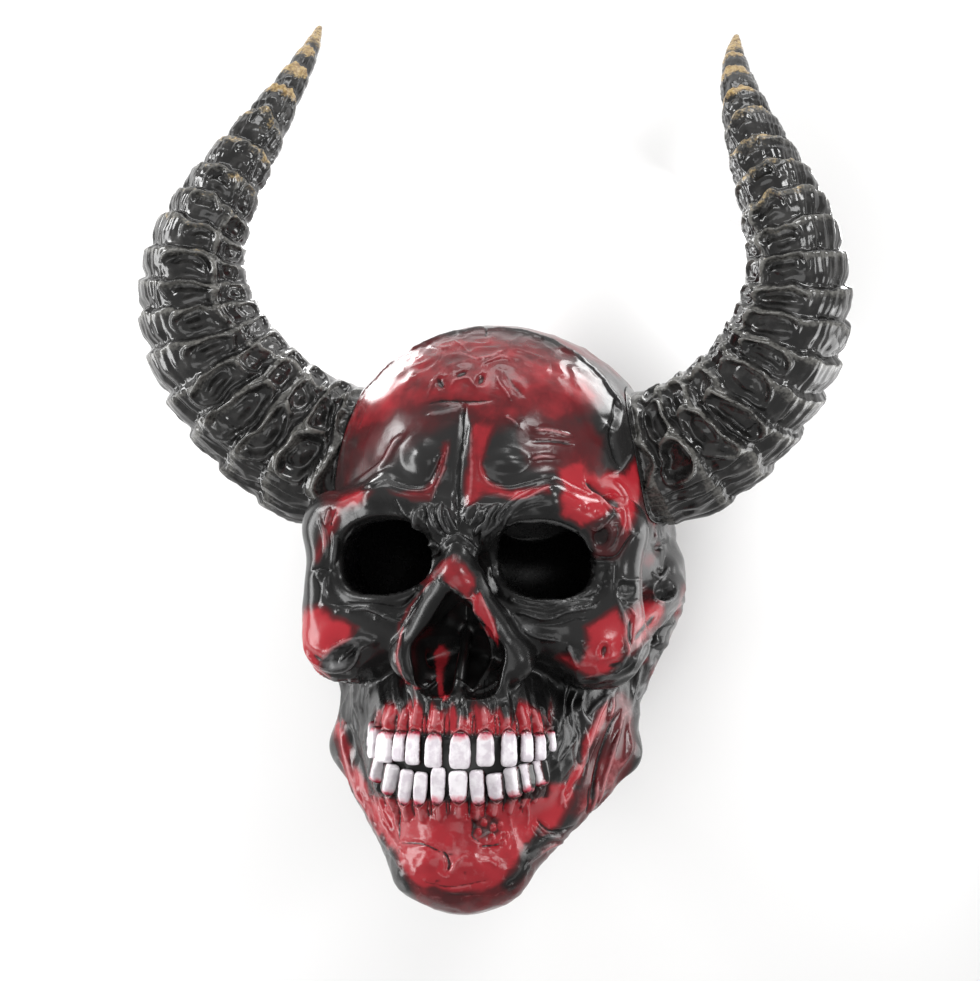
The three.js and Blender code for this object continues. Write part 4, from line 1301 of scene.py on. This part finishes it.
def horn_paint(tree):
    """Glossy black, grey on the cells' rims, the seam and the lips as worn paint and painted highlights, with
    gold dragged over the lips and the tip.
    """
    place = tree.object_place()
    cloud = tree.noise(place, 110, 4)
    grain = tree.noise(place, 500, 3)
    lip = tree.attribute("lip")
    tip = tree.attribute("tip")
    ahead = tree.attribute("ahead")
    soot = tree.mixed(tree.smooth(cloud, 0.4, 0.7), HORN_BLACK, HORN_GREY)
    middle = tree.smooth(ahead, 0.2, 0.9)
    # Grey on the rims and lips: worn paint and painted highlights
    worn_and_highlight = tree.attribute("worn_and_highlight").at_least(lip)
    soot = tree.mixed(tree.smooth(worn_and_highlight + (grain - 0.5) * 1.1, 0.6, 1.25) * 0.65, soot, HORN_WORN_AND_HIGHLIGHT)
    upper = tree.smooth(tip, 0.74, 0.81) * middle
    drag = lip * tree.smooth(tip, 0.2, 0.8) * (0.34 + 0.3 * middle) + upper * (0.14 + 0.36 * lip)
    gild = tree.smooth(drag + (grain - 0.5) * 0.7 + (cloud - 0.5) * 1.2, 0.42, 0.8)
    tipped = tree.smooth(tip + (cloud - 0.5) * 0.08, 0.895, 0.925)
    tipped = tipped * (0.6 + 0.4 * tree.smooth(grain, 0.3, 0.6))
    gild = (gild * 0.9).at_least(tipped)
    gold = tree.mixed(tree.smooth(grain, 0.35, 0.7), GOLD_DEEP, GOLD)
    painted = tree.mixed(gild * 0.9, soot, gold)
    rough = 0.1 + 0.12 * cloud + 0.15 * gild
    bump = tree.node("ShaderNodeBump", {}, {"Strength": 0.3, "Distance": 0.0006, "Height": cloud})
    return {"Base Color": painted, "Roughness": rough, "Normal": bump}


def floor_paint(tree):
    """Matt, nearly white paper."""
    place = tree.object_place()
    cloud = tree.noise(place, 3, 2)
    return {"Base Color": tree.mixed(cloud, FLOOR, FLOOR_WARM), "Roughness": 0.6 + 0.05 * cloud}


# Meshes

def in_row(places):
    """Places in the mask frame, in millimetres, as places in the row's frame, in metres."""
    return (np.asarray(places) * MM + np.array(ZERO) * MM).astype(np.float32)


def placed(name, data):
    """A new object in the scene."""
    made = bpy.data.objects.new(name, data)
    bpy.context.scene.collection.objects.link(made)
    return made


def keep_values(mesh, values):
    """Keeps a number or a vector for each point of a mesh, by name, as attributes."""
    for name, value in values.items():
        value = np.asarray(value, np.float32)
        kind, field = ("FLOAT", "value") if value.ndim == 1 else ("FLOAT_VECTOR", "vector")
        mesh.attributes.new(name, kind, "POINT").data.foreach_set(field, value.ravel())


def points_of(mesh):
    co = np.empty(len(mesh.vertices) * 3, np.float32)
    mesh.vertices.foreach_get("co", co)
    return co.reshape(-1, 3)


def mesh_object(name, places, faces, values):
    """An object of quads or triangles, with its values kept as attributes."""
    mesh = bpy.data.meshes.new(name)
    count, sides = faces.shape
    mesh.vertices.add(len(places))
    mesh.vertices.foreach_set("co", places.ravel())
    mesh.loops.add(count * sides)
    mesh.loops.foreach_set("vertex_index", faces.ravel().astype(np.int32))
    mesh.polygons.add(count)
    mesh.polygons.foreach_set("loop_start", np.arange(0, count * sides, sides, dtype=np.int32))
    mesh.polygons.foreach_set("use_smooth", np.ones(count, bool))
    keep_values(mesh, values)
    mesh.update(calc_edges=True)
    mesh.validate()
    return placed(name, mesh)


def baked(made):
    """Replaces an object's mesh by what its modifiers make of it."""
    graph = bpy.context.evaluated_depsgraph_get()
    mesh = bpy.data.meshes.new_from_object(made.evaluated_get(graph))
    made.modifiers.clear()
    made.data = mesh
    return made


def thinned(made, triangles):
    """Fewer triangles, kept where the surface bends."""
    sides = sum(len(p.vertices) - 2 for p in made.data.polygons)
    thin = made.modifiers.new("thin", "DECIMATE")
    thin.ratio = triangles / sides
    return baked(made)


def facing_out(made):
    """Turns the faces of a closed mesh outwards and smooths its shading."""
    mesh = made.data
    shape = bmesh.new()
    shape.from_mesh(mesh)
    bmesh.ops.remove_doubles(shape, verts=shape.verts, dist=1e-6)
    bmesh.ops.recalc_face_normals(shape, faces=shape.faces)
    for face in shape.faces:
        face.smooth = True
    shape.to_mesh(mesh)
    shape.free()


def sculpted_skull(skin, shell):
    """The shell with its relief pressed into it and its paint values, as one mesh."""
    s = Sculpt(skin, shell)
    forehead(s)
    left_patch(s)
    brow_leaves(s)
    nose_bone(s)
    eye_surrounds(s)
    cheeks(s)
    jaws(s)
    chin(s)
    gums(s)
    strands(s)
    overall(s)
    s.press()
    made = mesh_object("skull", in_row(s.places), s.quads, painted(s))
    return thinned(made, SKULL_TRIANGLES)


# The horns

def horn_spine(side):
    """The middle line of a horn as a row of joined points that carry its radius and directions."""
    shares = np.linspace(0, 1, HORN_STEPS + 1)
    stations = np.array(HORN_LINES[side], float)
    at = shares ** RING_CROWDING * (len(stations) - 1)
    fine = spline(stations[:, :3], SPINE_STEPS)
    middle = [np.interp(at * SPINE_STEPS, np.arange(len(fine)), fine[:, i]) for i in range(3)]
    middle = np.stack(middle, 1)
    radius = np.interp(at, np.arange(len(stations)), stations[:, 3])
    radius *= np.sqrt(np.clip(at / ROOT_ROUNDING, 0.0004, 1))
    tangent = np.gradient(middle, axis=0)
    tangent /= np.linalg.norm(tangent, axis=1, keepdims=True)
    front = np.array((0, 0, 1)) - tangent * tangent[:, 2:]
    front /= np.linalg.norm(front, axis=1, keepdims=True)
    outer = np.cross(tangent, front)
    mesh = bpy.data.meshes.new("horn_spine")
    count = len(middle)
    mesh.vertices.add(count)
    mesh.edges.add(count - 1)
    pairs = np.stack((np.arange(count - 1), np.arange(1, count)), 1).astype(np.int32)
    mesh.edges.foreach_set("vertices", pairs.ravel())
    flip = np.array((side, 1, 1))
    mesh.vertices.foreach_set("co", (middle * flip).astype(np.float32).ravel())
    keep_values(mesh, {
        "share": shares, "thickness": radius, "middle": middle * flip, "front": front * flip,
        "outer": outer * flip,
    })
    mesh.update()
    return mesh


class Shaping(Tree):
    """A geometry tree with named inputs."""

    def __init__(self, name, inputs):
        super().__init__(bpy.data.node_groups.new(name, "GeometryNodeTree"))
        face = self.tree.interface
        face.new_socket("Geometry", in_out="INPUT", socket_type="NodeSocketGeometry")
        face.new_socket("Geometry", in_out="OUTPUT", socket_type="NodeSocketGeometry")
        self.names = {}
        for label, kind in inputs.items():
            made = face.new_socket(label, in_out="INPUT", socket_type=kind)
            self.names[label] = made.identifier
        self.group = self.tree.nodes.new("NodeGroupInput")

    def given(self, label):
        return Socket(self, self.group.outputs[label])

    def end(self, geometry, material):
        """Ends the tree with instances made real and the material set."""
        real = self.node("GeometryNodeRealizeInstances", {}, {"Geometry": geometry})
        clothed = self.node("GeometryNodeSetMaterial", {}, {"Geometry": real, "Material": material})
        out = self.tree.nodes.new("NodeGroupOutput")
        self.tree.links.new(clothed.source, out.inputs[0])

    def shape(self, made, values):
        """Runs the tree on an object with its inputs set, and keeps what it makes."""
        modifier = made.modifiers.new("shape", "NODES")
        modifier.node_group = self.tree
        for label, value in values.items():
            modifier[self.names[label]] = value
        return baked(made)

    def named(self, name, kind="FLOAT"):
        return self.node("GeometryNodeInputNamedAttribute", {"data_type": kind}, {"Name": name})

    def stored(self, geometry, name, value):
        inputs = {"Geometry": geometry, "Name": name, "Value": value}
        return self.node("GeometryNodeStoreNamedAttribute", {"data_type": "FLOAT", "domain": "POINT"}, inputs)

    def vectors(self, operation, *values, output=0):
        return self.node("ShaderNodeVectorMath", {"operation": operation}, dict(enumerate(values)), output)

    def dot(self, a, b):
        return self.vectors("DOT_PRODUCT", a, b, output=1)

    def stretched(self, vector, factor):
        return self.node("ShaderNodeVectorMath", {"operation": "SCALE"}, {0: vector, "Scale": factor})

    def vector(self, x, y, z):
        return self.node("ShaderNodeCombineXYZ", {}, {"X": x, "Y": y, "Z": z})


def ring_cells(t, angle, step, upward, warp, chance):
    """Columns of cells on the rings: sunk, with rims, folds and knobs. Upward is 0 at the root."""
    columns = (
        (0.12 - 0.22 * upward, 0.44, 1.0, upward),
        (-0.6 - 0.1 * upward, 0.27, 0.9 * (1 - upward), 0.0),
        (-1.2 + 0.2 * upward, 0.26, 0.75, 0.0),
    )
    cells = 0.0
    for middle, wide, deep, opened in columns:
        across = (angle - middle - chance * 0.2 + warp * 0.7) / wide
        up = (step - 0.42 + warp * 0.4) / 0.42
        edge = (abs(across) ** 3 + abs(up) ** 3) ** (1 / 3)
        high = t.smooth(up, -0.35, 0.4)
        rim = (1 - t.smooth(abs(edge - 0.98), 0.0, 0.2)) * (1 - (1 - high) * (0.35 + 0.6 * opened))
        sunk = (1 - t.smooth(edge, 0.6, 0.92)) * (1 - (1 - high) * opened)
        belly = (1 - t.smooth(edge, 0.2, 0.95)) * (1 - high) * opened
        fold = (1 - t.smooth(abs(edge - 0.56), 0.0, 0.13)) * t.smooth(up, -0.1, 0.35)
        knob = 1 - t.smooth((across ** 2 + (up - 0.1 - chance) ** 2) ** 0.5, 0.0, 0.6)
        cells = cells + (rim - sunk + belly * 0.25 + fold * 0.35 + knob * 0.45) * (deep * (1 + chance * 0.5))
    return cells


def horn_tree():
    """Cup-like rings with sunk cells in front and strands outside, on a tube along a horn's line."""
    inputs = {
        "Sides": "NodeSocketInt", "Rings": "NodeSocketFloat", "Lip": "NodeSocketFloat",
        "Cell": "NodeSocketFloat", "Strand": "NodeSocketFloat", "Seed": "NodeSocketFloat",
        "Material": "NodeSocketMaterial",
    }
    t = Shaping("ringed_horn", inputs)
    line = t.node("GeometryNodeMeshToCurve", {}, {"Mesh": t.given("Geometry")})
    circle = t.node("GeometryNodeCurvePrimitiveCircle", {}, {"Resolution": t.given("Sides"), "Radius": 1.0})
    thickness = t.named("thickness")
    sweep = {"Curve": line, "Profile Curve": circle, "Scale": thickness, "Fill Caps": True}
    tube = t.node("GeometryNodeCurveToMesh", {}, sweep)
    place = t.node("GeometryNodeInputPosition", {}, {})
    # Round the horn, sine is 1 on its outer side and cosine is 1 in front
    outward = t.vectors("NORMALIZE", t.vectors("SUBTRACT", place, t.named("middle", "FLOAT_VECTOR")))
    sine = t.dot(outward, t.named("outer", "FLOAT_VECTOR"))
    cosine = t.dot(outward, t.named("front", "FLOAT_VECTOR"))
    angle = sine.maths("ARCTAN2", sine, cosine)
    # Along it, index counts the wavy rings and step runs from 0 to 1 over each
    share = t.named("share")
    ring = share * t.given("Rings")
    seed = t.given("Seed")
    wave = t.noise(t.vector(cosine, sine, ring * 0.5 + seed), 1.2, 2)
    phase = ring + (1 - cosine) * 0.26 + (wave - 0.5) * 0.8
    index = phase.maths("FLOOR", phase)
    step = phase - index
    # Each ring widens to a lip, most outside and towards the tip
    wall = t.smooth(step, 0.0, 0.42) * 0.68 + t.smooth(step, 0.3, 0.84) * 0.32
    lip = wall * (1 - t.smooth(step, 0.86, 1.0))
    outside = t.smooth(sine, 0.2, 0.8)
    within = t.smooth(-sine, 0.5, 0.95)
    root = 1 - t.smooth(share, 0.1, 0.28)
    tip = t.smooth(share, 0.4, 0.7)
    swell = (lip - 0.5) * t.given("Lip") * (0.45 + outside * (0.3 - 0.4 * root) - within * 0.3 + tip * 0.7)
    # The cells and the seam between their columns fade out before the tip
    chance = t.node("ShaderNodeTexWhiteNoise", {"noise_dimensions": "1D"}, {"W": index + seed}) - 0.5
    warp = t.noise(t.vector(cosine, sine, ring * 0.6 + seed), 1.0, 0) - 0.5
    upward = t.smooth(share, 0.08, 0.42)
    cells = ring_cells(t, angle, step, upward, warp, chance)
    seam = 1 - t.smooth(abs(angle + 1.0 - 0.42 * upward + warp * 0.3), 0.03, 0.13)
    raised = cells + seam * 0.9 * (1 - t.smooth(share, 0.5, 0.7))
    lower = 1 - t.smooth(share, 0.74, 0.95)
    # The raised rims and seam below the tip are marked for grey, worn paint that also stands for painted
    # highlights
    worn_and_highlight = raised.at_least(0.0) * lower
    # Strands run along the outer side, lines run round the upper rings, and pits are everywhere
    strand = 1 - abs(t.noise(t.vector(cosine * 5, sine * 5, ring * 0.4 + seed), 1.0, 1) - 0.5) * 7
    fine = 1 - abs(t.noise(t.vector(cosine * 0.8, sine * 0.8, ring * 3.2 + seed), 1.0, 1) - 0.5) * 7
    scale_lines = fine * t.smooth(share, 0.45, 0.75) * 0.045
    pits = t.noise(t.vector(cosine * 2.4, sine * 2.4, ring * 1.2 + seed), 1.0, 2) - 0.5
    relief = swell + raised * t.given("Cell") * lower * (1 - within * 0.4) + pits * 0.06 + scale_lines
    relief = relief + strand * t.given("Strand") * lower * (outside * (0.6 + root * 1.6) + 0.06)
    bend = t.smooth(share, 0.01, 0.06)
    offset = t.stretched(outward, relief * thickness * bend)
    tube = t.node("GeometryNodeSetPosition", {}, {"Geometry": tube, "Offset": offset})
    tube = t.stored(tube, "lip", lip ** 4)
    tube = t.stored(tube, "worn_and_highlight", worn_and_highlight)
    tube = t.stored(tube, "tip", share)
    tube = t.stored(tube, "ahead", cosine)
    t.end(tube, t.given("Material"))
    return t


def fit_root(mesh, skin):
    """Brings a horn's root out of the skull onto its skin, and puts the horn in the row's frame."""
    places = points_of(mesh).astype(float)

    def depth(p):
        steps = [np.interp(p[:, i], axis, np.arange(len(axis))) for i, axis in enumerate(skin.axes)]
        return skin.values_at(np.stack(steps, 1))

    root = np.nonzero(np.abs(places[:, 0]) < ROOT_REACH)[0]
    for _ in range(ROOT_MOVES):
        p = places[root]
        d = depth(p)
        low = d < GLUE_GAP
        if not low.any():
            break
        p, d = p[low], d[low]
        slope = np.stack([depth(p + e) - depth(p - e) for e in np.eye(3)], 1)
        slope /= np.maximum(np.linalg.norm(slope, axis=1, keepdims=True), 1e-6)
        places[root[low]] = p + slope * (GLUE_GAP + GAP_SPARE - d)[:, None]
    mesh.vertices.foreach_set("co", in_row(places).ravel())
    mesh.update()


def horn(name, side, skin, tree, material):
    """A horn with its rings, its root fitted to the skull."""
    made = tree.shape(placed(name, horn_spine(side)), {
        "Sides": HORN_SIDES, "Rings": HORN_RINGS, "Lip": RING_RELIEF, "Cell": CELL_RELIEF,
        "Strand": STRAND_RELIEF, "Seed": HORN_SEEDS[side], "Material": material,
    })
    fit_root(made.data, skin)
    facing_out(made)
    return made


# The teeth

def tooth_tree():
    """Rounded teeth on points that carry their sizes and turns."""
    inputs = {"Squareness": "NodeSocketFloat", "Wave": "NodeSocketFloat", "Material": "NodeSocketMaterial"}
    t = Shaping("teeth", inputs)
    size = {"Size": (2.0, 2.0, 2.0), "Vertices X": 15, "Vertices Y": 21, "Vertices Z": 9}
    block = t.node("GeometryNodeMeshCube", {}, size)
    block = t.node("GeometryNodeMergeByDistance", {}, {"Geometry": block, "Distance": 0.0001})
    place = t.node("GeometryNodeInputPosition", {}, {})
    # A cube's places are drawn in to a rounded block, whose y is -1 at the tip and 1 at the root
    parts = [t.node("ShaderNodeSeparateXYZ", {}, {"Vector": place}, i) for i in range(3)]
    power = t.given("Squareness")
    total = 0.0
    most = 0.0
    for part in parts:
        total = abs(part) ** power + total
        most = abs(part).at_least(most)
    x, y, z = (part * most / total ** (1 / power) for part in parts)
    # It narrows and flattens towards the root
    root = (y + 1) * 0.5
    top = (root - 0.66).at_least(0.0) / 0.34
    narrow = 1 - 0.16 * root ** 1.5 - 0.4 * top ** 2
    bulge = 1 - 0.3 * root
    rounded = {"Geometry": block, "Position": t.vector(x * narrow, y, z * bulge)}
    block = t.node("GeometryNodeSetPosition", {}, rounded)
    block = t.stored(block, "root", root)
    # Marks the sides for painted shade, more the deeper they lie behind the front
    block = t.stored(block, "side_shade", abs(x) * (0.5 - 0.5 * z))
    inputs = {
        "Points": t.given("Geometry"), "Instance": block,
        "Rotation": t.named("turn", "FLOAT_VECTOR"), "Scale": t.named("size", "FLOAT_VECTOR"),
    }
    row = t.node("GeometryNodeInstanceOnPoints", {}, inputs)
    row = t.node("GeometryNodeRealizeInstances", {}, {"Geometry": row})
    lumps = t.node("ShaderNodeTexNoise", {}, {"Vector": place, "Scale": 0.2, "Detail": 2.0}, 1)
    shift = t.stretched(t.vectors("SUBTRACT", lumps, (0.5, 0.5, 0.5)), t.given("Wave"))
    row = t.node("GeometryNodeSetPosition", {}, {"Geometry": row, "Offset": shift})
    t.end(row, t.given("Material"))
    return t


def teeth(material):
    """Both rows of teeth as one mesh, each tooth between its two places on the arch."""
    middles, sizes, turns = [], [], []
    for row, way in TOOTH_ROWS:
        for start, end, root, tip in row:
            first, last = arch_point(start, root), arch_point(end, root)
            turn = math.radians((start + end) / 2) * TOOTH_TURN
            half_width = abs(last[0] - first[0]) / 2 / math.cos(turn) + TOOTH_OVERLAP
            height = abs(root - tip) + TOOTH_ROOT
            middles.append((first + last) / 2 + (0, (TOOTH_ROOT - abs(root - tip)) / 2 * way, 0))
            sizes.append((half_width, height / 2, TOOTH_HALF_DEPTH))
            turns.append((0.0, turn, 0.0 if way > 0 else math.pi + LOWER_ROLL * turn))
    mesh = bpy.data.meshes.new("tooth_points")
    mesh.vertices.add(len(middles))
    mesh.vertices.foreach_set("co", np.array(middles, np.float32).ravel())
    keep_values(mesh, {"size": sizes, "turn": turns})
    values = {"Squareness": TOOTH_SQUARENESS, "Wave": TOOTH_WAVE, "Material": material}
    made = tooth_tree().shape(placed("teeth", mesh), values)
    made.data.vertices.foreach_set("co", in_row(points_of(made.data)).ravel())
    facing_out(made)
    return made


# The studio

def camera():
    right, up, back = view_axes()
    data = bpy.data.cameras.new("camera")
    data.sensor_width = SENSOR
    data.lens = SENSOR * VIEW_DISTANCE / (FRAME_SIDE * PIXEL)
    data.clip_end = FARTHEST_SEEN
    made = placed("camera", data)
    turn = Matrix((right, up, back)).transposed().to_4x4()
    made.matrix_world = Matrix.Translation(Vector(in_row(eye_point()))) @ turn
    bpy.context.scene.camera = made


def floor():
    corners = np.array(((-1, -1, 0), (1, -1, 0), (1, 1, 0), (-1, 1, 0)), np.float32) * FLOOR_HALF
    made = mesh_object("floor", corners, np.array(((0, 1, 2, 3),)), {})
    made.data.materials.append(shader("pale_floor", floor_paint))


def soft_box(name, place, aim, size, power):
    data = bpy.data.lights.new(name, "AREA")
    data.shape = "RECTANGLE"
    data.size, data.size_y = size
    data.energy = power
    made = placed(name, data)
    made.location = place
    made.rotation_euler = (Vector(aim) - Vector(place)).to_track_quat("-Z", "Y").to_euler()
    made.visible_camera = False


def lights():
    world = bpy.data.worlds.new("studio")
    bpy.context.scene.world = world
    world.use_nodes = True
    world.node_tree.nodes["Background"].inputs["Color"].default_value = (1, 1, 1, 1)
    world.node_tree.nodes["Background"].inputs["Strength"].default_value = WORLD_LIGHT
    for name, values in SOFT_BOXES.items():
        soft_box(name, *values)
    bpy.context.scene.view_settings.view_transform = "Standard"


def piece(made, node):
    """A finished piece that rides on the mask; the CAD node whose place it takes, if any, is hidden."""
    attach(made, "root")
    if node:
        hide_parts(node)


skin, shell = shell_clay()
skull = sculpted_skull(skin, shell)
skull.data.materials.append(shader("skull_paint", skull_paint))
piece(skull, "skull_mask")
piece(teeth(shader("tooth_paint", tooth_paint)), None)
shape, paint = horn_tree(), shader("horn_paint", horn_paint)
for name, side in (("left", 1), ("right", -1)):
    piece(horn(name + "_horn_shape", side, skin, shape, paint), name + "_horn")
floor()
camera()
lights()
